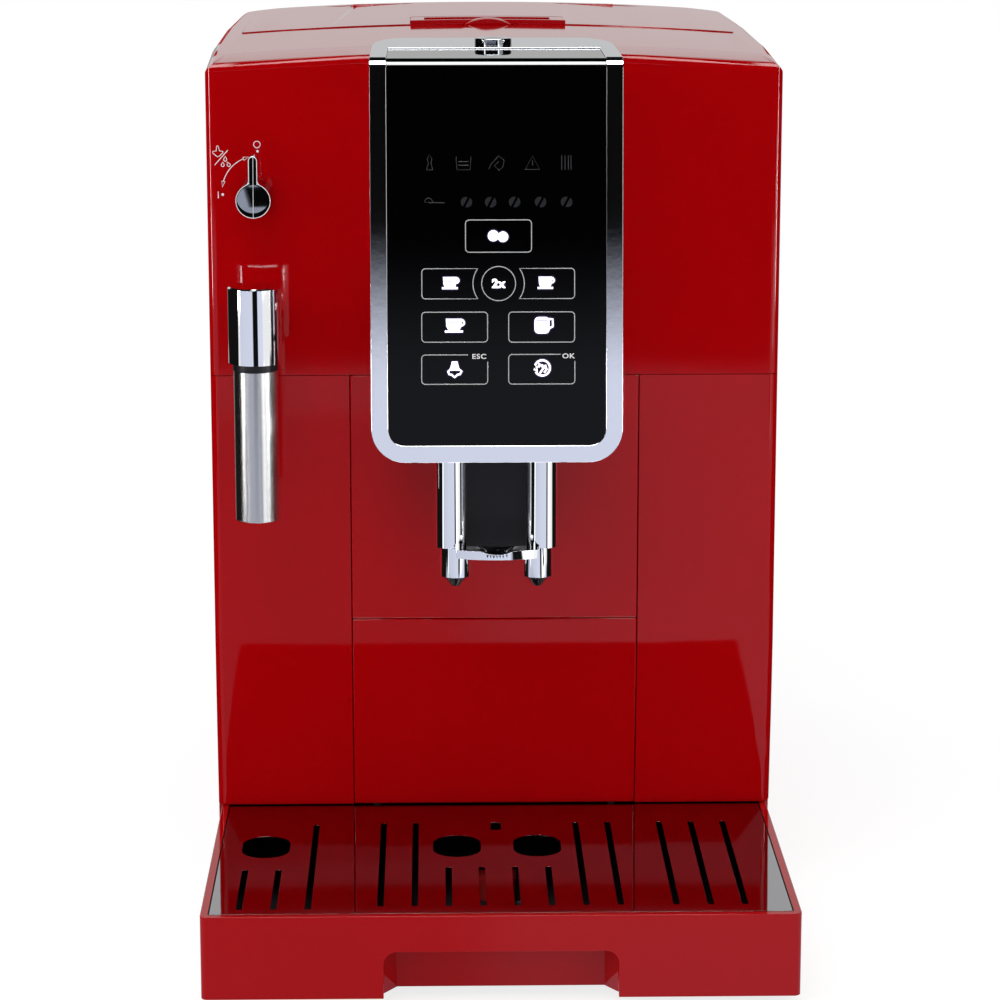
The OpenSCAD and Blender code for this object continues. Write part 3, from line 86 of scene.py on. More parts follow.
makeCamera()
bpy.context.scene.view_settings.view_transform = "Standard"

# A band is its angle round the machine, from the front to the right, its brightness, and 1 if it is cool.
studio = {
    "floorSize": 14.0,
    "floorGrey": 0.30,     # what the floor gives back of the light on it
    "floorGlow": 0.80,     # what it shows by itself, so that the open floor is white
    "floorBounce": 0.92,   # what it gives back to the machine
    "worldDiffuse": 0.66,
    # what gloss sees of the floor near the machine
    "nearBands": [
        (-180, 0.66, 0), (-150, 0.68, 0), (-143, 0.006, 0), (-62, 0.006, 0), (-52, 0.75, 1), (-20, 0.50, 1),
        (-4, 0.50, 1), (2, 0.86, 1), (50, 0.95, 1), (60, 0.006, 0), (138, 0.006, 0), (146, 0.68, 0),
        (180, 0.66, 0)],
    # further out, and just above the horizon
    "lowBands": [
        (-180, 0.66, 0), (-150, 0.68, 0), (-143, 0.006, 0), (-66, 0.006, 0), (-48, 0.006, 0), (-46, 1.6, 0),
        (-42, 1.6, 0), (-40, 0.75, 1), (-12, 0.80, 1), (12, 0.88, 1), (15, 0.90, 1), (16, 0.006, 0),
        (26, 0.006, 0), (28, 2.5, 0), (36, 2.5, 0), (38, 1.0, 0), (58, 1.0, 0), (64, 0.006, 0),
        (138, 0.006, 0), (146, 0.68, 0), (180, 0.66, 0)],
    # higher up, where the front of the room is dark
    "highBands": [
        (-180, 0.66, 0), (-150, 0.68, 0), (-143, 0.004, 0), (-58, 0.004, 0), (-56, 6.0, 0), (-52, 6.0, 0),
        (-50, 0.003, 0), (29, 0.003, 0), (31, 5.0, 0), (36, 5.0, 0), (38, 1.0, 0), (58, 1.0, 0),
        (64, 0.006, 0), (138, 0.006, 0), (146, 0.68, 0), (180, 0.66, 0)],
    # the floor past the table's edge: dark straight ahead, with two strip lamps' glare at the sides
    "farBands": [
        (-180, 0.5, 0), (-143, 0.006, 0), (-70, 0.006, 0), (-69, 30.0, 0), (-62, 30.0, 0), (-61, 0.8, 1),
        (-9, 0.85, 1), (-8.3, 0.004, 0), (10.3, 0.004, 0), (11, 0.9, 1), (30, 0.9, 1), (32, 3.0, 0),
        (61, 3.0, 0), (62, 26.0, 0), (69, 26.0, 0), (70, 0.006, 0), (143, 0.006, 0), (180, 0.5, 0)],
    "cool": (0.80, 0.84, 1.0),
    "dark": (0.004, 0.004, 0.005, 1),
    "horizon": (0.035, 0.085),    # height of the direction where low turns to high
    "bandTop": (0.36, 0.46),      # where high turns to dark
    "ceiling": (0.80, 0.84),      # and where the lamp box overhead begins
    "ceilingFront": (-0.02, 0.03),
    "ceilingGlow": 12.0,
    "nearReach": (0.70, 0.74),    # metres from the machine where near turns to low
    "tableEdge": (1.31, 1.42),    # where low turns to far
    "stripStart": (1.75, 1.85),   # and where the strips' glare begins
    "bareLevel": 0.9,             # the most that far bands give before it
}


def nodeTree(owner):
    owner.use_nodes = True
    tree = owner.node_tree
    tree.nodes.clear()
    return tree


def mathNode(tree, operation, first, second=None):
    step = tree.nodes.new("ShaderNodeMath")
    step.operation = operation
    for socket, value in zip(step.inputs, (first, second)):
        if value is None:
            continue
        if isinstance(value, (int, float)):
            socket.default_value = value
        else:
            tree.links.new(value, socket)
    return step.outputs[0]


def between(tree, value, span):  # 0 below the span, 1 above it, smooth inside
    step = tree.nodes.new("ShaderNodeMapRange")
    step.interpolation_type = "SMOOTHSTEP"
    step.inputs["From Min"].default_value = span[0]
    step.inputs["From Max"].default_value = span[1]
    tree.links.new(value, step.inputs["Value"])
    return step.outputs[0]


def blended(tree, factor, first, second):
    mix = tree.nodes.new("ShaderNodeMix")
    mix.data_type = "RGBA"
    tree.links.new(factor, mix.inputs["Factor"])
    for socket, value in ((mix.inputs[6], first), (mix.inputs[7], second)):
        if isinstance(value, tuple):
            socket.default_value = value
        else:
            tree.links.new(value, socket)
    return mix.outputs[2]


def roomColour(tree, x, y, bands):  # bright and dark bands by the angle round the machine
    angle = mathNode(tree, "ARCTAN2", x, mathNode(tree, "MULTIPLY", y, -1.0))
    turn = mathNode(tree, "ADD", mathNode(tree, "DIVIDE", angle, 2 * math.pi), 0.5)
    around = tree.nodes.new("ShaderNodeValToRGB")
    ramp = around.color_ramp
    while len(ramp.elements) < len(bands):
        ramp.elements.new(0.5)
    for element, (place, level, cool) in zip(ramp.elements, bands):
        element.position = (place + 180) / 360
        element.color = (*[level * (part if cool else 1) for part in studio["cool"]], 1)
    tree.links.new(turn, around.inputs["Fac"])
    return around.outputs["Color"]


def grey(level):
    return (level, level, level, 1)


def byRay(tree, bounced, mirrored, shown):  # a look for soft light, for gloss and for the open view
    path = tree.nodes.new("ShaderNodeLightPath")
    mixGloss = tree.nodes.new("ShaderNodeMixShader")
    mixSeen = tree.nodes.new("ShaderNodeMixShader")
    seen = mathNode(tree, "MAXIMUM", path.outputs["Is Camera Ray"], path.outputs["Is Transmission Ray"])
    tree.links.new(path.outputs["Is Glossy Ray"], mixGloss.inputs[0])
    tree.links.new(bounced.outputs[0], mixGloss.inputs[1])
    tree.links.new(mirrored.outputs[0], mixGloss.inputs[2])
    tree.links.new(seen, mixSeen.inputs[0])
    tree.links.new(mixGloss.outputs[0], mixSeen.inputs[1])
    tree.links.new(shown.outputs[0], mixSeen.inputs[2])
    return mixSeen.outputs[0]


def splitAxes(tree, kind):
    coord = tree.nodes.new("ShaderNodeTexCoord")
    split = tree.nodes.new("ShaderNodeSeparateXYZ")
    tree.links.new(coord.outputs[kind], split.inputs[0])
    return split.outputs["X"], split.outputs["Y"], split.outputs["Z"]


def makeWorld():
    world = bpy.data.worlds.new("softStudio")
    bpy.context.scene.world = world
    tree = nodeTree(world)
    out = tree.nodes.new("ShaderNodeOutputWorld")
    x, y, z = splitAxes(tree, "Generated")
    low = roomColour(tree, x, y, studio["lowBands"])
    high = roomColour(tree, x, y, studio["highBands"])
    room = blended(tree, between(tree, z, studio["horizon"]), low, high)
    room = blended(tree, between(tree, z, studio["bandTop"]), room, studio["dark"])
    front = between(tree, mathNode(tree, "MULTIPLY", y, -1.0), studio["ceilingFront"])
    overhead = mathNode(tree, "MULTIPLY", between(tree, z, studio["ceiling"]), front)
    room = blended(tree, overhead, room, grey(studio["ceilingGlow"]))
    diffuse = tree.nodes.new("ShaderNodeBackground")
    diffuse.inputs["Color"].default_value = grey(1)
    diffuse.inputs["Strength"].default_value = studio["worldDiffuse"]
    shown = tree.nodes.new("ShaderNodeBackground")
    shown.inputs["Color"].default_value = grey(1)
    mirrored = tree.nodes.new("ShaderNodeBackground")
    tree.links.new(room, mirrored.inputs["Color"])
    tree.links.new(byRay(tree, diffuse, mirrored, shown), out.inputs["Surface"])


def makeFloor():
    bm = bmesh.new()
    bmesh.ops.create_grid(bm, x_segments=1, y_segments=1, size=studio["floorSize"])
    mesh = bpy.data.meshes.new("studioFloor")
    bm.to_mesh(mesh)
    bm.free()
    floor = bpy.data.objects.new("studioFloor", mesh)
    bpy.context.scene.collection.objects.link(floor)
    paint = bpy.data.materials.new("floorPaint")
    tree = nodeTree(paint)
    out = tree.nodes.new("ShaderNodeOutputMaterial")
    lit = tree.nodes.new("ShaderNodeBsdfDiffuse")
    lit.inputs["Color"].default_value = grey(studio["floorGrey"])
    glow = tree.nodes.new("ShaderNodeEmission")
    glow.inputs["Strength"].default_value = studio["floorGlow"]
    shown = tree.nodes.new("ShaderNodeAddShader")
    tree.links.new(lit.outputs[0], shown.inputs[0])
    tree.links.new(glow.outputs[0], shown.inputs[1])
    bounced = tree.nodes.new("ShaderNodeBsdfDiffuse")
    bounced.inputs["Color"].default_value = grey(studio["floorBounce"])
    mirrored = tree.nodes.new("ShaderNodeEmission")
    x, y, _ = splitAxes(tree, "Object")
    squares = [mathNode(tree, "MULTIPLY", axis, axis) for axis in (x, y)]
    reach = mathNode(tree, "SQRT", mathNode(tree, "ADD", *squares))
    bare = [(place, min(level, studio["bareLevel"]), cool) for place, level, cool in studio["farBands"]]
    close = roomColour(tree, x, y, studio["nearBands"])
    low = roomColour(tree, x, y, studio["lowBands"])
    near = blended(tree, between(tree, reach, studio["nearReach"]), close, low)
    far = blended(tree, between(tree, reach, studio["stripStart"]),
                  roomColour(tree, x, y, bare), roomColour(tree, x, y, studio["farBands"]))
    table = blended(tree, between(tree, reach, studio["tableEdge"]), near, far)
    tree.links.new(table, mirrored.inputs["Color"])
    tree.links.new(byRay(tree, bounced, mirrored, shown), out.inputs["Surface"])
    mesh.materials.append(paint)
    floor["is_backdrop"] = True


lamps = {
    "keyAbove": {"place": (-0.5, -1.2, 2.2), "size": (1.2, 1.2), "power": 14.0},
    "sideLeft": {"place": (-1.9, -0.9, 0.9), "size": (0.9, 1.6), "power": 9.0},
    "sideRight": {"place": (1.9, -0.9, 0.9), "size": (0.9, 1.6), "power": 4.0},
}
lampTarget = Vector((0, 0, 0.2))  # the middle of the machine


def makeLamp(name, lampSet):
    data = bpy.data.lights.new(name, "AREA")
    data.shape = "RECTANGLE"
    data.size, data.size_y = lampSet["size"]
    data.energy = lampSet["power"]
    lamp = bpy.data.objects.new(name, data)
    bpy.context.scene.collection.objects.link(lamp)
    lamp.location = lampSet["place"]
    lamp.rotation_euler = (lampTarget - lamp.location).to_track_quat("-Z", "Y").to_euler()
    lamp.visible_glossy = False


makeWorld()
makeFloor()
for name, lampSet in lamps.items():
    makeLamp(name, lampSet)
print("camera and studio made")

finishes = {
    "glossRed": {"colour": (0.372, 0.0004, 0.0018), "rough": 0.05, "peel": 0.005, "peelScale": 260,
                 "mottle": 0.04, "shine": 0.26},
    # the lower panels' gloss leans a little towards the floor
    "panelRed": {"colour": (0.372, 0.0004, 0.0018), "rough": 0.05, "peel": 0.005, "peelScale": 260,
                 "mottle": 0.04, "shine": 0.26, "lean": 3.7},
    "chromePlate": {"colour": (0.90, 0.91, 0.93), "metal": 1, "rough": 0.030, "peel": 0.004,
                    "peelScale": 300, "mottle": 0.02},
    "polishedSteel": {"colour": (0.38, 0.38, 0.39), "metal": 1, "rough": 0.035, "peel": 0.004,
                      "peelScale": 120, "mottle": 0.03},
    "brushedSteel": {"colour": (0.60, 0.595, 0.585), "metal": 1, "rough": 0.25, "peel": 0.03,
                     "peelScale": 900, "mottle": 0.05, "grain": (1, 1, 0.02)},
    "glassBlack": {"colour": (0.0006, 0.0006, 0.0008), "rough": 0.025, "peel": 0.003, "peelScale": 200,
                   "mottle": 0.02, "shine": 0.17},
    # a copy of the black glass with full shine for its bend: a painted highlight, so that the bend shows a
    # bright band
    "glassBend": {"colour": (0.0006, 0.0006, 0.0008), "rough": 0.025, "peel": 0.003, "peelScale": 200,
                  "mottle": 0.02, "shine": 1.0},
    "rimSteel": {"colour": (0.40, 0.41, 0.42), "metal": 1, "rough": 0.14, "peel": 0.01,
                 "peelScale": 500, "mottle": 0.04},
    # a darker, bluer copy of the chrome for the head frame's upward faces: painted shade on the frame's top
    "strapShadedSteel": {"colour": (0.345, 0.375, 0.405), "metal": 1, "rough": 0.03, "peel": 0.004,
                   "peelScale": 300, "mottle": 0.02},
    "spoutBlack": {"colour": (0.0125, 0.0115, 0.0145), "rough": 0.32, "peel": 0.04, "peelScale": 2200,
                   "mottle": 0.05, "shine": 0.25},
    "blackNickel": {"colour": (0.36, 0.38, 0.40), "metal": 1, "rough": 0.05, "peel": 0.004,
                    "peelScale": 300, "mottle": 0.03},
    "glossBlack": {"colour": (0.003, 0.003, 0.004), "rough": 0.07, "peel": 0.006, "peelScale": 300,
                   "mottle": 0.03, "shine": 0.5},
    "satinBlack": {"colour": (0.0105, 0.010, 0.012), "rough": 0.38, "peel": 0.05, "peelScale": 2200,
                   "mottle": 0.06, "shine": 0.25},
    "greyPlastic": {"colour": (0.10, 0.10, 0.11), "rough": 0.45, "peel": 0.05, "peelScale": 1800,
                    "mottle": 0.06},
    "smokeClear": {"colour": (0.35, 0.36, 0.39), "rough": 0.08, "peel": 0.004, "peelScale": 300,
                   "mottle": 0.02, "clear": 0.75},
    "amberClear": {"colour": (0.20, 0.17, 0.15), "rough": 0.10, "peel": 0.004, "peelScale": 300,
                   "mottle": 0.02, "clear": 0.55},
    "rubberFoot": {"colour": (0.018, 0.018, 0.018), "rough": 0.75, "peel": 0.08, "peelScale": 2600,
                   "mottle": 0.08},
    "castAluminium": {"colour": (0.62, 0.63, 0.65), "metal": 1, "rough": 0.42, "peel": 0.10,
                      "peelScale": 1200, "mottle": 0.08},
    "boardGreen": {"colour": (0.02, 0.11, 0.04), "rough": 0.35, "peel": 0.04, "peelScale": 1400,
                   "mottle": 0.10},
    "zincSteel": {"colour": (0.52, 0.53, 0.55), "metal": 1, "rough": 0.32, "peel": 0.05,
                  "peelScale": 1500, "mottle": 0.08},
    "redFloat": {"colour": (0.50, 0.02, 0.02), "rough": 0.30, "peel": 0.02, "peelScale": 900,
                 "mottle": 0.05},
    # white print, also used for the painted highlight lines on the steam knob
    "whiteInkAndHighlight": {"colour": (0.78, 0.76, 0.78), "rough": 0.45, "peel": 0.01, "peelScale": 900,
                 "mottle": 0.03},
    "greyInk": {"colour": (0.46, 0.46, 0.47), "rough": 0.45, "peel": 0.01, "peelScale": 900,
                "mottle": 0.03},
    "faintInk": {"colour": (0.0075, 0.0075, 0.009), "rough": 0.40, "peel": 0.01, "peelScale": 900,
                 "mottle": 0.10},
}

finishOfSlot = {
    "gloss_red": "glossRed", "chrome": "chromePlate", "polished_steel": "polishedSteel",
    "brushed_steel": "brushedSteel", "glass_black": "glassBlack", "gloss_black": "glossBlack",
    "satin_black": "satinBlack", "grey_plastic": "greyPlastic", "smoke_clear": "smokeClear",
    "amber_clear": "amberClear", "rubber": "rubberFoot", "aluminium": "castAluminium",
    "board_green": "boardGreen", "zinc_steel": "zincSteel", "red_float": "redFloat",
}

weathering = {  # the same in every finish
    "ior": 1.5,
    "fineDetail": 3,
    "wideScale": 18,
    "wideDetail": 4,
    "roughSpread": 0.2,
    "bumpDepth": 0.001,
}


def noiseOf(tree, vector, scale, detail):
    noise = tree.nodes.new("ShaderNodeTexNoise")
    noise.inputs["Scale"].default_value = scale
    noise.inputs["Detail"].default_value = detail
    tree.links.new(vector, noise.inputs["Vector"])
    return noise.outputs["Fac"]


def mottled(tree, factor, colour, spread):  # the colour, a little darker and lighter from place to place
    tint = tree.nodes.new("ShaderNodeMix")
    tint.data_type = "RGBA"
    tint.inputs[6].default_value = (*[c * (1 - spread) for c in colour], 1)
    tint.inputs[7].default_value = (*[min(1, c * (1 + spread)) for c in colour], 1)
    tree.links.new(factor, tint.inputs["Factor"])
    return tint.outputs[2]


def makeFinish(name, look):
    finish = bpy.data.materials.new(name)
    tree = nodeTree(finish)
    out = tree.nodes.new("ShaderNodeOutputMaterial")
    shader = tree.nodes.new("ShaderNodeBsdfPrincipled")
    shader.inputs["Metallic"].default_value = look.get("metal", 0)
    shader.inputs["IOR"].default_value = weathering["ior"]
    shader.inputs["Specular IOR Level"].default_value = look.get("shine", 0.5)
    shader.inputs["Transmission Weight"].default_value = look.get("clear", 0)
    coord = tree.nodes.new("ShaderNodeTexCoord")
    place = tree.nodes.new("ShaderNodeMapping")
    place.inputs["Scale"].default_value = look.get("grain", (1, 1, 1))
    tree.links.new(coord.outputs["Object"], place.inputs["Vector"])
    fine = noiseOf(tree, place.outputs[0], look["peelScale"], weathering["fineDetail"])
    wide = noiseOf(tree, coord.outputs["Object"], weathering["wideScale"], weathering["wideDetail"])
    tree.links.new(mottled(tree, wide, look["colour"], look["mottle"]), shader.inputs["Base Color"])
    rough = tree.nodes.new("ShaderNodeMapRange")
    rough.inputs["To Min"].default_value = look["rough"] * (1 - weathering["roughSpread"])
    rough.inputs["To Max"].default_value = look["rough"] * (1 + weathering["roughSpread"])
    tree.links.new(fine, rough.inputs["Value"])
    tree.links.new(rough.outputs[0], shader.inputs["Roughness"])
    bump = tree.nodes.new("ShaderNodeBump")
    bump.inputs["Strength"].default_value = look["peel"]
    bump.inputs["Distance"].default_value = weathering["bumpDepth"]
    tree.links.new(fine, bump.inputs["Height"])
    if "lean" in look:
        surface = tree.nodes.new("ShaderNodeNewGeometry")
        turn = tree.nodes.new("ShaderNodeVectorRotate")
        turn.rotation_type = "X_AXIS"
        turn.inputs["Angle"].default_value = math.radians(look["lean"])
        tree.links.new(surface.outputs["Normal"], turn.inputs["Vector"])
        tree.links.new(turn.outputs[0], bump.inputs["Normal"])
    tree.links.new(bump.outputs[0], shader.inputs["Normal"])
    tree.links.new(shader.outputs[0], out.inputs["Surface"])
    return finish


finish = {name: makeFinish(name, look) for name, look in finishes.items()}

# signWhite is the lit signs themselves; the halo and the rim are painted glow spread round them on the glass
glows = {  # the lit signs, a little uneven as light through ink is
    "signWhite": {"colour": (1.0, 0.97, 1.0), "strength": 1.25, "base": (0.8, 0.8, 0.8)},
    "signHalo": {"colour": (0.12, 0.05, 0.34), "strength": 1.0, "base": (0.01, 0.01, 0.01)},
    "signRimGlow": {"colour": (0.022, 0.007, 0.075), "strength": 1.0, "base": (0.004, 0.004, 0.005)},
}
unevenGlow = {"scale": 500, "detail": 2, "spread": 0.1, "rough": 0.4}


def makeGlow(name, look):
    glow = bpy.data.materials.new(name)
    tree = nodeTree(glow)
    out = tree.nodes.new("ShaderNodeOutputMaterial")
    shader = tree.nodes.new("ShaderNodeBsdfPrincipled")
    coord = tree.nodes.new("ShaderNodeTexCoord")
    cloud = noiseOf(tree, coord.outputs["Object"], unevenGlow["scale"], unevenGlow["detail"])
    tint = mottled(tree, cloud, look["colour"], unevenGlow["spread"])
    tree.links.new(tint, shader.inputs["Emission Color"])
    shader.inputs["Base Color"].default_value = (*look["base"], 1)
    shader.inputs["Roughness"].default_value = unevenGlow["rough"]
    shader.inputs["Emission Strength"].default_value = look["strength"]
    tree.links.new(shader.outputs[0], out.inputs["Surface"])
    return glow


glow = {name: makeGlow(name, look) for name, look in glows.items()}

ownLook = {  # nodes that look unlike their material's slot
    "hinge_pins": "glossRed", "steam_knob": "blackNickel", "power_button": "blackNickel",
    "spout_carrier": "spoutBlack", "front_left_panel": "panelRed", "front_right_panel": "panelRed",
    "front_center_panel": "panelRed", "grounds_front": "panelRed",
}


def lookOf(node):
    return finish[ownLook.get(node) or finishOfSlot[slotOf[node]]]


for name, node in nodes.items():
    node.data.materials.clear()
    node.data.materials.append(lookOf(name))
print("finishes made:", len(finish))

# The top cover and the lid are one shallow arch across the machine, and the lid's two knuckles are level
# with it. Its height falls by the bend times the square of the distance from the middle, in metres.
crown = {
    "nodes": ("top_cover", "bean_lid"),
    "bend": 0.35,
    "steepest": 0.985,    # upward part of a face's normal from which it counts as the arch
    "knuckleFrom": 0.035,
    "knuckleTo": 0.069,
    "knuckleTop": 0.34985,
    "knuckleBehind": 0.199,
    "shadeBehind": 0.196,
    "shadeUp": 0.1,
}


def byKnuckle(place):
    return crown["knuckleFrom"] < abs(place.x) < crown["knuckleTo"]


def shadeCrown(mesh):
    normals = [corner.vector.copy() for corner in mesh.corner_normals]
    for face in mesh.polygons:
        onKnuckle = (face.center.y > crown["shadeBehind"] and byKnuckle(face.center)
                     and face.normal.z > crown["shadeUp"])
        if face.normal.z > crown["steepest"] or onKnuckle:
            for corner in face.loop_indices:
                across = mesh.vertices[mesh.loops[corner].vertex_index].co.x
                normals[corner] = Vector((2 * crown["bend"] * across, 0, 1)).normalized()
    mesh.normals_split_custom_set(normals)


smoothing = {"sharp": 40, "printSharp": 60, "weight": 50}  # edges past so many degrees stay sharp


def finishPiece(name, bm, material, replaced=(), body=None, sharp=smoothing["sharp"],
                second=None):
    for face in bm.faces:
        face.smooth = True
    mesh = bpy.data.meshes.new(name)
    bm.to_mesh(mesh)
    bm.free()
    mesh.set_sharp_from_angle(angle=math.radians(sharp))
    mesh.materials.append(material)
    if second:
        mesh.materials.append(second)
    piece = bpy.data.objects.new(name, mesh)
    bpy.context.scene.collection.objects.link(piece)
    if replaced and replaced[0] in crown["nodes"]:
        shadeCrown(mesh)
    else:
        even = piece.modifiers.new("evenShading", "WEIGHTED_NORMAL")
        even.keep_sharp = True
        even.weight = smoothing["weight"]
    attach(piece, body or bodyOf[replaced[0]])
    if replaced:
        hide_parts(*replaced)


panelEdge = {"below": 0.0389, "lowered": 0.0013}


def lowerEdge(bm):  # the front panels' lower edges come close to the cup grid
    for vert in bm.verts:
        if vert.co.z < panelEdge["below"]:
            vert.co.z -= panelEdge["lowered"]


def levelHinges(bm):
    for vert in bm.verts:
        if vert.co.y > crown["knuckleBehind"] and byKnuckle(vert.co):
            vert.co.z = min(vert.co.z, crown["knuckleTop"] - crown["bend"] * vert.co.x ** 2)


reshaped = {"front_left_panel": lowerEdge, "front_right_panel": lowerEdge,
            "grounds_front": lowerEdge, "bean_lid": levelHinges}

trayRim = {"behind": -0.2120, "outside": 0.1085, "up": 0.3, "inward": 0.01}
strapUp = 0.95
# the faces of the glass that get its painted highlight
glassBend = {"lowest": 0.25, "highest": 0.94, "forward": 0.2}


def onTrayRim(centre, normal):  # the tops and inner sides of the side walls
    facing = normal.z > trayRim["up"] or normal.x * centre.x < -trayRim["inward"]
    return centre.y > trayRim["behind"] and abs(centre.x) > trayRim["outside"] and facing


# the head frame's upward faces, which get the painted shade
def onStrap(centre, normal):
    return normal.z > strapUp


def onGlassBend(centre, normal):  # where the glass turns from its top to its front
    return glassBend["lowest"] < normal.z < glassBend["highest"] and normal.y < -glassBend["forward"]


# second finishes for some faces: the tray's steel rim, painted shade on the head frame's top and a painted
# highlight on the glass's bend
twoLooks = {"tray_front": ("rimSteel", onTrayRim), "head_frame": ("strapShadedSteel", onStrap),
            "control_glass": ("glassBend", onGlassBend)}

softEdges = {  # how far each node's sharp edges are rounded, in metres
    "upper_fascia": 0.0005, "top_cover": 0.0004, "bean_lid": 0.0004, "preground_flap": 0.0003,
    "front_left_panel": 0.0006, "front_right_panel": 0.0006, "front_center_panel": 0.0006,
    "grounds_front": 0.0006, "left_side_panel": 0.0005, "right_side_panel": 0.0005,
    "rear_panel": 0.0003, "tray_front": 0.0017, "head_frame": 0.0006, "control_glass": 0.0003,
    "cup_grid": 0.0002, "spout_columns": 0.0003, "thumb_bar": 0.0005, "nozzle_tips": 0.0002,
    "wand_cap": 0.0006, "wand_ring": 0.0002, "steel_sleeve": 0.0002, "steam_knob": 0.0006,
    "power_button": 0.0005, "feet": 0.0003, "water_tank": 0.0008, "tank_lid": 0.0008,
    "tray_tub": 0.0003, "grounds_bin": 0.0004, "base_pan": 0.0003, "spout_carrier": 0.0003,
}
edgeWork = {"merge": 0.000002, "flat": 0.08, "corner": 32, "segments": 3}  # flat and corner in degrees


def softened(node, name, radius):
    bm = bmesh.new()
    bm.from_mesh(nodes[node].data)
    bmesh.ops.remove_doubles(bm, verts=bm.verts, dist=edgeWork["merge"])
    if node in reshaped:
        reshaped[node](bm)
    bmesh.ops.dissolve_limit(bm, angle_limit=math.radians(edgeWork["flat"]), verts=bm.verts,
                             edges=bm.edges, delimit=set())
    corner = math.radians(edgeWork["corner"])
    sharp = [edge for edge in bm.edges if len(edge.link_faces) == 2 and edge.calc_face_angle(0) > corner]
    bmesh.ops.bevel(bm, geom=sharp, offset=radius, offset_type="OFFSET", affect="EDGES",
                    segments=edgeWork["segments"], profile=0.5, material=-1, clamp_overlap=True)
    second = None
    if node in twoLooks:
        second, here = twoLooks[node]
        for face in bm.faces:
            if here(face.calc_center_median(), face.normal):
                face.material_index = 1
    finishPiece(name, bm, lookOf(node), replaced=(node,), second=finish.get(second))


for node, radius in softEdges.items():
    first, *rest = node.split("_")
    softened(node, first + "".join(word.capitalize() for word in rest) + "Soft", radius)
print("softened pieces:", len(softEdges))

# sizes in millimetres from here on
dish = {"from": (-11.6, -122.4, 154.6), "to": (11.6, -117.0, 157.4), "round": 0.3, "segments": 2}


# a gloss black block at the back of the thumb bar's dish: painted shade that darkens the dish
def makeDishShade():  # the dark back of the thumb bar's dish
    low, high = Vector(dish["from"]) / 1000, Vector(dish["to"]) / 1000
    place = Matrix.Translation((low + high) / 2) @ Matrix.Diagonal((*(high - low), 1))
    bm = bmesh.new()
    bmesh.ops.create_cube(bm, size=1)
    bmesh.ops.transform(bm, matrix=place, verts=bm.verts)
    bmesh.ops.bevel(bm, geom=bm.edges[:], offset=dish["round"] / 1000, offset_type="OFFSET", affect="EDGES",
                    segments=dish["segments"], profile=0.5, material=-1, clamp_overlap=True)
    finishPiece("dishShadeBack", bm, finish["glossBlack"], body=bodyOf["thumb_bar"])


makeDishShade()
print("dish behind the thumb bar made")

# Drawings go across and up, and each plane carries them to its place.
relief = 0.4  # how far a drawing's own depth is kept
glassSlope = 16.5 / 154.7
glassFoot = -120.05 - 348.9 * glassSlope  # where the glass, carried on down, would meet the floor
fasciaFront = -84.0


def facePlane(front, slope=0):
    turned = Matrix(((1, 0, 0, 0), (0, slope, -relief, front), (0, 1, 0, 0), (0, 0, 0, 1)))
    return Matrix.Scale(0.001, 4) @ turned


glassPlane = facePlane(glassFoot, glassSlope)
fasciaPlane = facePlane(fasciaFront)


def arc(centre, radius, start, end, steps=20):
    turns = [math.radians(start + (end - start) * k / steps) for k in range(steps + 1)]
    return [(centre[0] + radius * math.cos(turn), centre[1] + radius * math.sin(turn)) for turn in turns]


def roundedBox(x0, z0, x1, z1, r):
    corners = [((x1 - r, z1 - r), 0), ((x0 + r, z1 - r), 90),
               ((x0 + r, z0 + r), 180), ((x1 - r, z0 + r), 270)]
    line = []
    for centre, start in corners:
        line += arc(centre, r, start, start + 90, 5)
    return line


def closed(line):
    return line + line[:1]


def bakedMesh(holder):  # a curve or text made a mesh, and its holder taken away
    bpy.context.scene.collection.objects.link(holder)
    bpy.context.view_layer.update()
    mesh = bpy.data.meshes.new_from_object(holder.evaluated_get(bpy.context.evaluated_depsgraph_get()))
    bpy.data.objects.remove(holder)
    return mesh


printing = {"capHeight": 0.72, "spacing": 1.12, "letterDepth": 0.2, "shapeDepth": 0.25}


def drawing(strokes=(), pen=0.2, shapes=(), words=()):
    bm = bmesh.new()
    for outlines, filled in ((strokes, False), (shapes, True)):
        if not outlines:
            continue
        curve = bpy.data.curves.new("pen", "CURVE")
        curve.dimensions = "2D" if filled else "3D"
        curve.fill_mode = "BOTH" if filled else "FULL"
        curve.extrude = printing["shapeDepth"] if filled else 0
        curve.bevel_depth = 0 if filled else pen
        curve.bevel_resolution = 1
        curve.use_fill_caps = True
        for outline in outlines:
            meets = outline[0] == outline[-1]
            points = outline[:-1] if meets else outline
            spline = curve.splines.new("POLY")
            spline.points.add(len(points) - 1)
            for point, (x, z) in zip(spline.points, points):
                point.co = (x, z, 0, 1)
            spline.use_cyclic_u = filled or meets
        bm.from_mesh(bakedMesh(bpy.data.objects.new("pen", curve)))
    for text, centre, height, weight, wide in words:
        letters = bpy.data.curves.new("letters", "FONT")
        letters.body = text
        letters.size = height / printing["capHeight"]
        letters.align_x = "CENTER"
        letters.align_y = "CENTER"
        letters.extrude = printing["letterDepth"]
        letters.offset = weight
        letters.space_character = printing["spacing"]
        baked = bakedMesh(bpy.data.objects.new("letters", letters))
        baked.transform(Matrix.Translation((*centre, 0)) @ Matrix.Diagonal((wide, 1, 1, 1)))
        bm.from_mesh(baked)
    return bm


def printed(name, bm, plane, material, body, lift=0.0):
    bmesh.ops.transform(bm, matrix=plane @ Matrix.Translation((0, 0, lift)), verts=bm.verts)
    finishPiece(name, bm, material, body=body, sharp=smoothing["printSharp"])


def onGlass(name, bm, material, lift=0.0):
    printed(name, bm, glassPlane, material, "machine", lift)


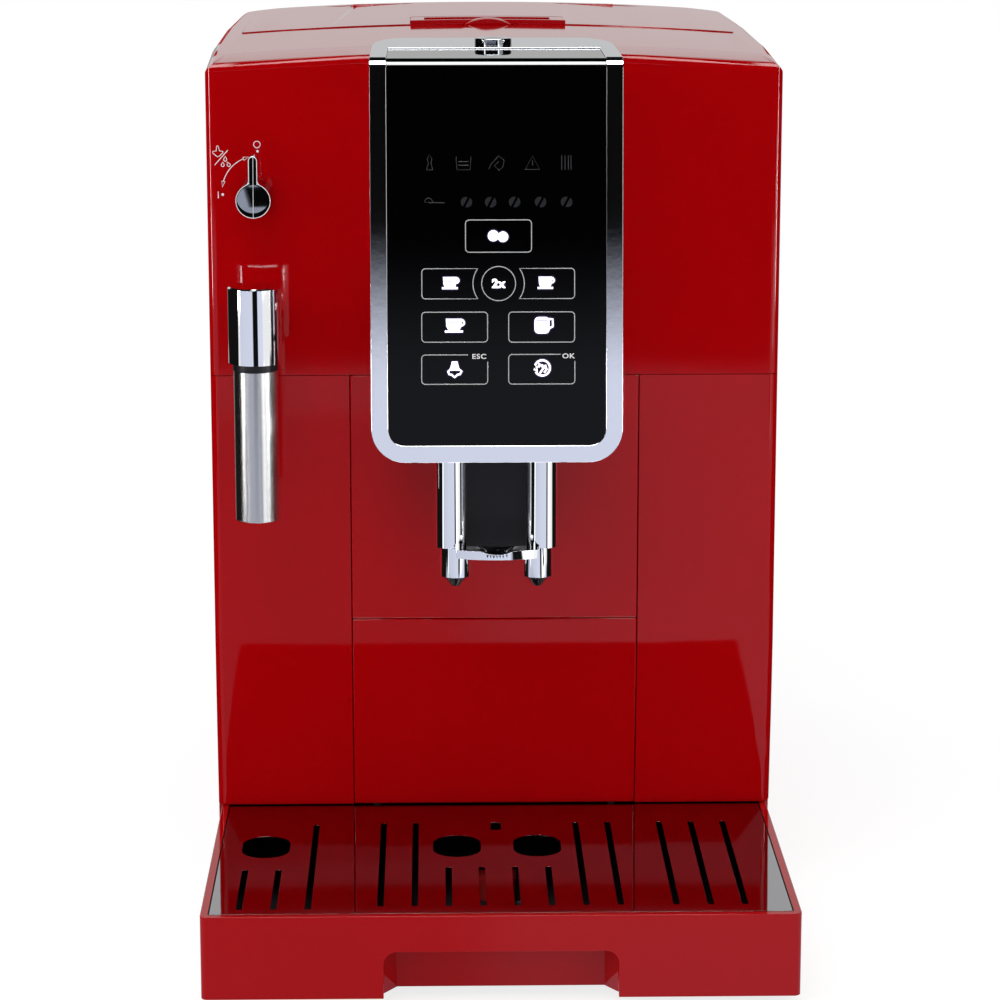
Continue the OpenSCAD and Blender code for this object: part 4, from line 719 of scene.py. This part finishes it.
# light grey outlines of the touch fields
fields = {
    "pen": 0.17,
    "corner": 1.4,
    "boxes": [(-12.0, 275.0, 13.4, 287.3), (-29.0, 240.6, -3.6, 252.1), (4.55, 240.5, 30.0, 252.1)],
    "circle": ((0.7, 263.0), 6.55),
    "sideGap": 9.9,      # radius of the arcs that keep clear of the round field
    "middle": (257.2, 268.75),
    "outer": (-28.9, 30.0),
    "lower": [(-29.1, 224.4, -3.6, 235.7, -11.2), (4.5, 224.4, 30.1, 235.8, 24.6)],
    "wordGap": 2.6,      # and how far down the side of a lower field is open
    # text, centre, height, weight and width
    "words": [("ESC", (-6.9, 235.0), 1.85, 0.05, 1.22), ("OK", (27.6, 235.1), 1.85, 0.05, 1.22)],
}


def touchOutlines():
    strokes = [closed(roundedBox(*box, fields["corner"])) for box in fields["boxes"]]
    centre, radius = fields["circle"]
    strokes.append(arc(centre, radius, 0, 360, 48))
    r, gap = fields["corner"], fields["sideGap"]
    z0, z1 = fields["middle"]
    left, right = fields["outer"]
    low, high = (math.degrees(math.asin((z - centre[1]) / gap)) for z in (z0, z1))
    strokes.append(arc((left + r, z1 - r), r, 90, 180, 5)
                   + arc((left + r, z0 + r), r, 180, 270, 5)
                   + arc(centre, gap, 180 - low, 180 - high, 14) + [(left + r, z1)])
    strokes.append(arc((right - r, z1 - r), r, 90, 0, 5)
                   + arc((right - r, z0 + r), r, 0, -90, 5)
                   + arc(centre, gap, low, high, 14) + [(right - r, z1)])
    for x0, z0, x1, z1, stop in fields["lower"]:  # open at the corner where a word stands
        strokes.append([(stop, z1)] + arc((x0 + r, z1 - r), r, 90, 180, 5)
                       + arc((x0 + r, z0 + r), r, 180, 270, 5)
                       + arc((x1 - r, z0 + r), r, 270, 360, 5) + [(x1, z1 - fields["wordGap"])])
    return strokes


onGlass("touchOutlines", drawing(touchOutlines(), fields["pen"]), finish["greyInk"])
onGlass("touchWords", drawing(words=fields["words"]), finish["whiteInkAndHighlight"])

litSigns = {
    "pen": 0.42,
    "haloPen": 0.80,
    "rimPen": 1.35,
    "levelPen": 0.15,
    "lift": {"rim": -1.08, "halo": -0.50, "sign": 0.12, "level": 0.42},
    # middle across and up, width at the top and the foot, height
    "cups": [(-18.1, 263.5, 4.7, 3.4, 3.7), (18.7, 263.5, 4.6, 3.2, 3.7), (-16.6, 247.2, 5.6, 3.2, 4.3)],
    "mug": (14.9, 244.2, 19.9, 249.8, 1.2),
    "mugHandle": [(20.0, 249.4), (21.5, 249.3), (21.6, 246.6), (20.2, 245.8)],
    "beans": [(-1.3, 281.3, 1.75), (2.4, 280.9, 1.65)],  # two side by side
    "spout": [(-17.2, 232.9), (-15.5, 232.9), (-14.7, 229.9), (-18.0, 229.9)],
    "steam": [(-18.9, 229.3), (-18.0, 230.2), (-14.7, 230.2), (-13.7, 229.4), (-14.3, 228.3), (-15.3, 228.1),
              (-16.4, 227.1), (-17.5, 228.1), (-18.5, 228.3), (-18.9, 229.3)],
    "cycle": ((17.5, 230.6), 2.95, 160, -150, 24),
    "cycleMarks": [[(14.3, 230.2), (15.6, 229.4), (15.2, 231.0), (16.6, 231.2)],
                   [(16.6, 228.6), (17.8, 230.3), (17.4, 232.0)],
                   [(18.6, 231.8), (19.2, 230.0), (18.2, 228.8)],
                   [(16.0, 232.2), (18.6, 230.6)]],
    "twice": [("2x", (0.6, 262.9), 3.3, 0.22, 1.0)],
    # the painted halo glow round the word, drawn by its strokes
    "twiceHalo": [[(-1.4, 263.9), (-0.4, 264.1), (0.0, 262.9), (-1.2, 261.6), (0.3, 261.5)],
                  [(1.4, 263.3), (2.9, 261.6)], [(2.9, 263.3), (1.4, 261.6)]],
    # the drink's level, a dark line across each cup
    "levels": [[(-19.2, 264.0), (-17.2, 264.0)], [(17.4, 264.3), (19.8, 264.3)],
               [(-18.4, 248.3), (-14.7, 248.3)], [(15.4, 248.9), (19.4, 248.9)]],
}
cupShape = {"waist": 0.1, "taper": 0.25, "handle": 0.24, "handleOut": 0.1, "handleUp": 0.2,
            "saucerOut": 0.7, "saucerDown": 0.35}


def cup(x, z, top, foot, height):  # a cup from the side with its handle and saucer
    upper, lower, waist = z + height / 2, z - height / 2, z - height * cupShape["waist"]
    half, side = top / 2, top / 2 - cupShape["taper"]
    body = [(x - half, upper), (x + half, upper), (x + side, waist),
            (x + foot / 2, lower), (x - foot / 2, lower), (x - side, waist)]
    handle = arc((x + half + cupShape["handleOut"], z + height * cupShape["handleUp"]),
                 height * cupShape["handle"], 100, -110, 8)
    reach, under = half + cupShape["saucerOut"], lower - cupShape["saucerDown"]
    return body, handle, [(x - reach, under), (x + reach, under)]


def litStrokes():
    shapes, strokes = [], []
    for place in litSigns["cups"]:
        body, handle, saucer = cup(*place)
        shapes.append(body)
        strokes += [closed(body), handle, saucer]
    mug = roundedBox(*litSigns["mug"])
    shapes.append(mug)
    strokes += [closed(mug), litSigns["mugHandle"]]
    for x, z, r in litSigns["beans"]:
        bean = arc((x, z), r, 0, 345, 16)
        shapes.append(bean)
        strokes.append(closed(bean))
    shapes.append(litSigns["spout"])
    strokes += [closed(litSigns["spout"]), litSigns["steam"], arc(*litSigns["cycle"])]
    return shapes, strokes + litSigns["cycleMarks"]


litShapes, litLines = litStrokes()
litGlow = litLines + litSigns["twiceHalo"]
lift = litSigns["lift"]
# painted glow round the lit signs: a wide dim rim and a brighter halo
onGlass("paintedRimGlows", drawing(litGlow, litSigns["rimPen"]), glow["signRimGlow"], lift["rim"])
onGlass("paintedHaloGlows", drawing(litGlow, litSigns["haloPen"]), glow["signHalo"], lift["halo"])
onGlass("litSigns", drawing(litLines, litSigns["pen"], litShapes, litSigns["twice"]),
        glow["signWhite"], lift["sign"])
# the level lines reuse the halo's glow colour
onGlass("cupLevels", drawing(litSigns["levels"], litSigns["levelPen"]), glow["signHalo"], lift["level"])

faint = {
    "pen": 0.16,
    "warnings": 309.0,   # height of the unlit row of warning lights, from which its lines are measured
    "lines": [
        [(-25.7, 3.2), (-26.6, 1.6), (-26.2, 0), (-26.9, -2.6), (-24.5, -2.6), (-25.2, 0), (-24.8, 1.6),
         (-25.7, 3.2)],
        [(-15.6, 2.4), (-15.2, -2.6), (-10.2, -2.6), (-9.8, 2.4)],
        [(-14.6, 0.5), (-10.8, 0.5)], [(-14.6, -0.9), (-10.8, -0.9)],
        [(-2.2, -0.6), (0.8, 2.6), (2.9, 1.0), (2.4, -1.6), (0.9, -2.8), (-0.8, -1.0), (0.8, 0.6)],
        [(-2.2, -0.6), (-3.0, -2.4)],
        [(13.8, 2.6), (11.0, -2.5), (16.6, -2.5), (13.8, 2.6)], [(13.8, 1.0), (13.8, -1.0)],
        [(25.0, 2.8), (25.0, -2.6)], [(26.3, 2.8), (26.3, -2.6)],
        [(27.6, 2.8), (27.6, -2.6)], [(28.6, 2.8), (28.6, -2.6)]],
    "strengths": 294.1,  # the same for the strength row below it
    "spoon": ((-26.2, 0.1), 1.5),
    "spoonEnd": (-24.7, -0.4),
    "spoonHandle": [(-24.7, -0.1), (-20.0, -0.3)],
    "beans": (-11.6, -2.3, 6.9, 16.9, 26.9),
    "beanRadius": 2.0,
    "beanTurns": (62, 242),  # each in two halves
    "beanGap": 0.25,
    "beanOpen": 8,
}


def raised(line, height):
    return [(x, z + height) for x, z in line]


def faintSigns():
    strokes = [raised(line, faint["warnings"]) for line in faint["lines"]]
    row = faint["strengths"]
    centre, radius = faint["spoon"]
    bowl = arc(raised([centre], row)[0], radius, 0, 180, 8)
    strokes += [bowl + raised([faint["spoonEnd"]], row), raised(faint["spoonHandle"], row)]
    halves = []
    for x in faint["beans"]:
        for turn in faint["beanTurns"]:
            aside = faint["beanGap"] * math.cos(math.radians(turn + 90))
            first, last = turn + faint["beanOpen"], turn + 180 - faint["beanOpen"]
            half = arc((0, 0), faint["beanRadius"], first, last, 12)
            halves.append([(x + aside + across, row + up) for across, up in half])
    return strokes, halves


faintLines, faintHalves = faintSigns()
onGlass("faintSigns", drawing(faintLines, faint["pen"], faintHalves), finish["faintInk"])
print("signs on the glass drawn")

knobMarks = {
    "pen": 0.16,
    "sweep": ((-94.0, 293.6), 13.9, 102.5, 173.5),
    "headLength": 2.4,
    "headHalf": 0.62,
    "slash": [(-110.7, 304.0), (-105.4, 309.9)],
    "steam": [(-110.0, 309.6), (-109.8, 311.5), (-109.2, 311.5), (-108.7, 309.6), (-107.4, 309.4),
              (-107.4, 308.8), (-108.6, 307.7), (-109.5, 307.2), (-110.5, 308.0), (-111.4, 308.8),
              (-111.4, 309.4), (-110.0, 309.6)],
    # tip and middle of each drop
    "drops": [(-106.5, 307.5, -106.5, 306.1), (-107.5, 305.2, -107.5, 304.0),
              (-105.8, 305.3, -105.1, 304.0)],
    "dropRadius": 0.6,
    "bar": [(-109.5, 293.5), (-109.5, 290.8)],
    "ring": ((-93.9, 312.1), 1.3),
    "dots": [((-93.7, 309.4), 0.48), ((-107.7, 292.3), 0.54)],
}


def arrowHead(tip, heading):  # hollow, with its base behind the tip
    long, half = knobMarks["headLength"], knobMarks["headHalf"]
    back = (tip[0] - long * math.cos(heading), tip[1] - long * math.sin(heading))
    across = (-half * math.sin(heading), half * math.cos(heading))
    corners = [(back[0] + side * across[0], back[1] + side * across[1]) for side in (1, -1)]
    return [tip, *corners, tip]


def dropStroke(tipX, tipZ, x, z):  # a round drop drawn out to its tip
    away = math.degrees(math.atan2(tipZ - z, tipX - x))
    belly = arc((x, z), knobMarks["dropRadius"], away + 60, away + 300, 12)
    return [(tipX, tipZ), *belly, (tipX, tipZ)]


def markStrokes():
    centre, radius, start, end = knobMarks["sweep"]
    hold = math.degrees(knobMarks["headLength"] / radius)
    first, last = (arc(centre, radius, turn, turn, 1)[0] for turn in (start, end))
    strokes = [arc(centre, radius, start + hold, end - hold, 16),
               arrowHead(first, math.radians(start - 90 + hold / 2)),
               arrowHead(last, math.radians(end + 90 - hold / 2)),
               arc(*knobMarks["ring"], 0, 360, 18),
               knobMarks["slash"], knobMarks["steam"], knobMarks["bar"]]
    strokes += [dropStroke(*drop) for drop in knobMarks["drops"]]
    return strokes, [arc(*dot, 0, 330, 10) for dot in knobMarks["dots"]]


markLines, markDots = markStrokes()
printed("knobMarks", drawing(markLines, knobMarks["pen"], markDots), fasciaPlane, finish["whiteInkAndHighlight"],
        "machine")
print("marks by the steam knob drawn")

knobFace = {
    "centre": (-94.8, 291.8),
    "front": -102.0,     # the face's plane
    "rim": 6.7,
    "leverHalf": 1.6,
    "leverTop": 17.3,
    "fillet": 2.4,
    # widths and lift of the white lines that paint highlights on the knob
    "pen": 0.13,
    "ridgePen": 0.09,
    "ridgeLean": 0.2,
    "ridgeShort": 0.4,   # how far below the lever's top the ridge ends
    "ridgeLift": 0.7,
    "dome": 0.25,
    "tilt": 1.3,         # degrees that the dome looks down
    "domeRadius": 6.3,
    "domeSteps": 8,
    "domeBack": -0.6,
    "domeTurns": 64,
    "domeMerge": 0.0001,
}


# The path of the painted highlight along the knob's edge.
def knobOutline():  # round the disc and up along the lever
    x, z = knobFace["centre"]
    r, half, f = knobFace["rim"], knobFace["leverHalf"], knobFace["fillet"]
    reach = math.sqrt((r + f) ** 2 - (half + f) ** 2)
    meet = math.degrees(math.atan2(reach, half + f))
    tip = (x, z + knobFace["leverTop"] - half)
    return closed(arc((x, z), r, meet, 180 - meet - 360, 40)
                  + arc((x - half - f, z + reach), f, -meet, 0, 6)
                  + arc(tip, half, 180, 0, 10)
                  + arc((x + half + f, z + reach), f, 180, 180 + meet, 6))


# The path of the painted highlight up the knob's ridge.
def knobRidgeHighlight():
    x, z = knobFace["centre"]
    top = z + knobFace["leverTop"] - knobFace["ridgeShort"]
    return [(x, z - knobFace["rim"]), (x + knobFace["ridgeLean"], top)]


def knobDome():  # the disc's slightly raised face
    x, z = knobFace["centre"]
    high, r, steps, back = (knobFace[key] for key in ("dome", "domeRadius", "domeSteps", "domeBack"))
    profile = [(r * k / steps, high * (1 - (k / steps) ** 2)) for k in range(steps + 1)]
    profile += [(r, back), (0, back)]
    bm = bmesh.new()
    rim = [bm.verts.new((across, 0, up)) for across, up in profile]
    edges = [bm.edges.new(pair) for pair in zip(rim, rim[1:])]
    bmesh.ops.spin(bm, geom=rim + edges, cent=(0, 0, 0), axis=(0, 0, 1), angle=2 * math.pi,
                   steps=knobFace["domeTurns"], use_merge=True)
    bmesh.ops.remove_doubles(bm, verts=bm.verts, dist=knobFace["domeMerge"])
    bmesh.ops.recalc_face_normals(bm, faces=bm.faces)
    turned = Matrix.Rotation(math.radians(90 + knobFace["tilt"]), 4, "X")
    place = Matrix.Scale(0.001, 4) @ Matrix.Translation((x, knobFace["front"], z)) @ turned
    bmesh.ops.transform(bm, matrix=place, verts=bm.verts)
    return bm


knobPlane = facePlane(knobFace["front"])
finishPiece("knobFaceDome", knobDome(), finish["blackNickel"], body="steam_knob")
# white lines on the knob: a painted highlight round its edge and a painted highlight up its ridge
printed("knobRim", drawing([knobOutline()], knobFace["pen"]), knobPlane, finish["whiteInkAndHighlight"],
        "steam_knob")
printed("knobRidgeHighlight", drawing([knobRidgeHighlight()], knobFace["ridgePen"]), knobPlane, finish["whiteInkAndHighlight"],
        "steam_knob", lift=knobFace["ridgeLift"])
print("knob face made")

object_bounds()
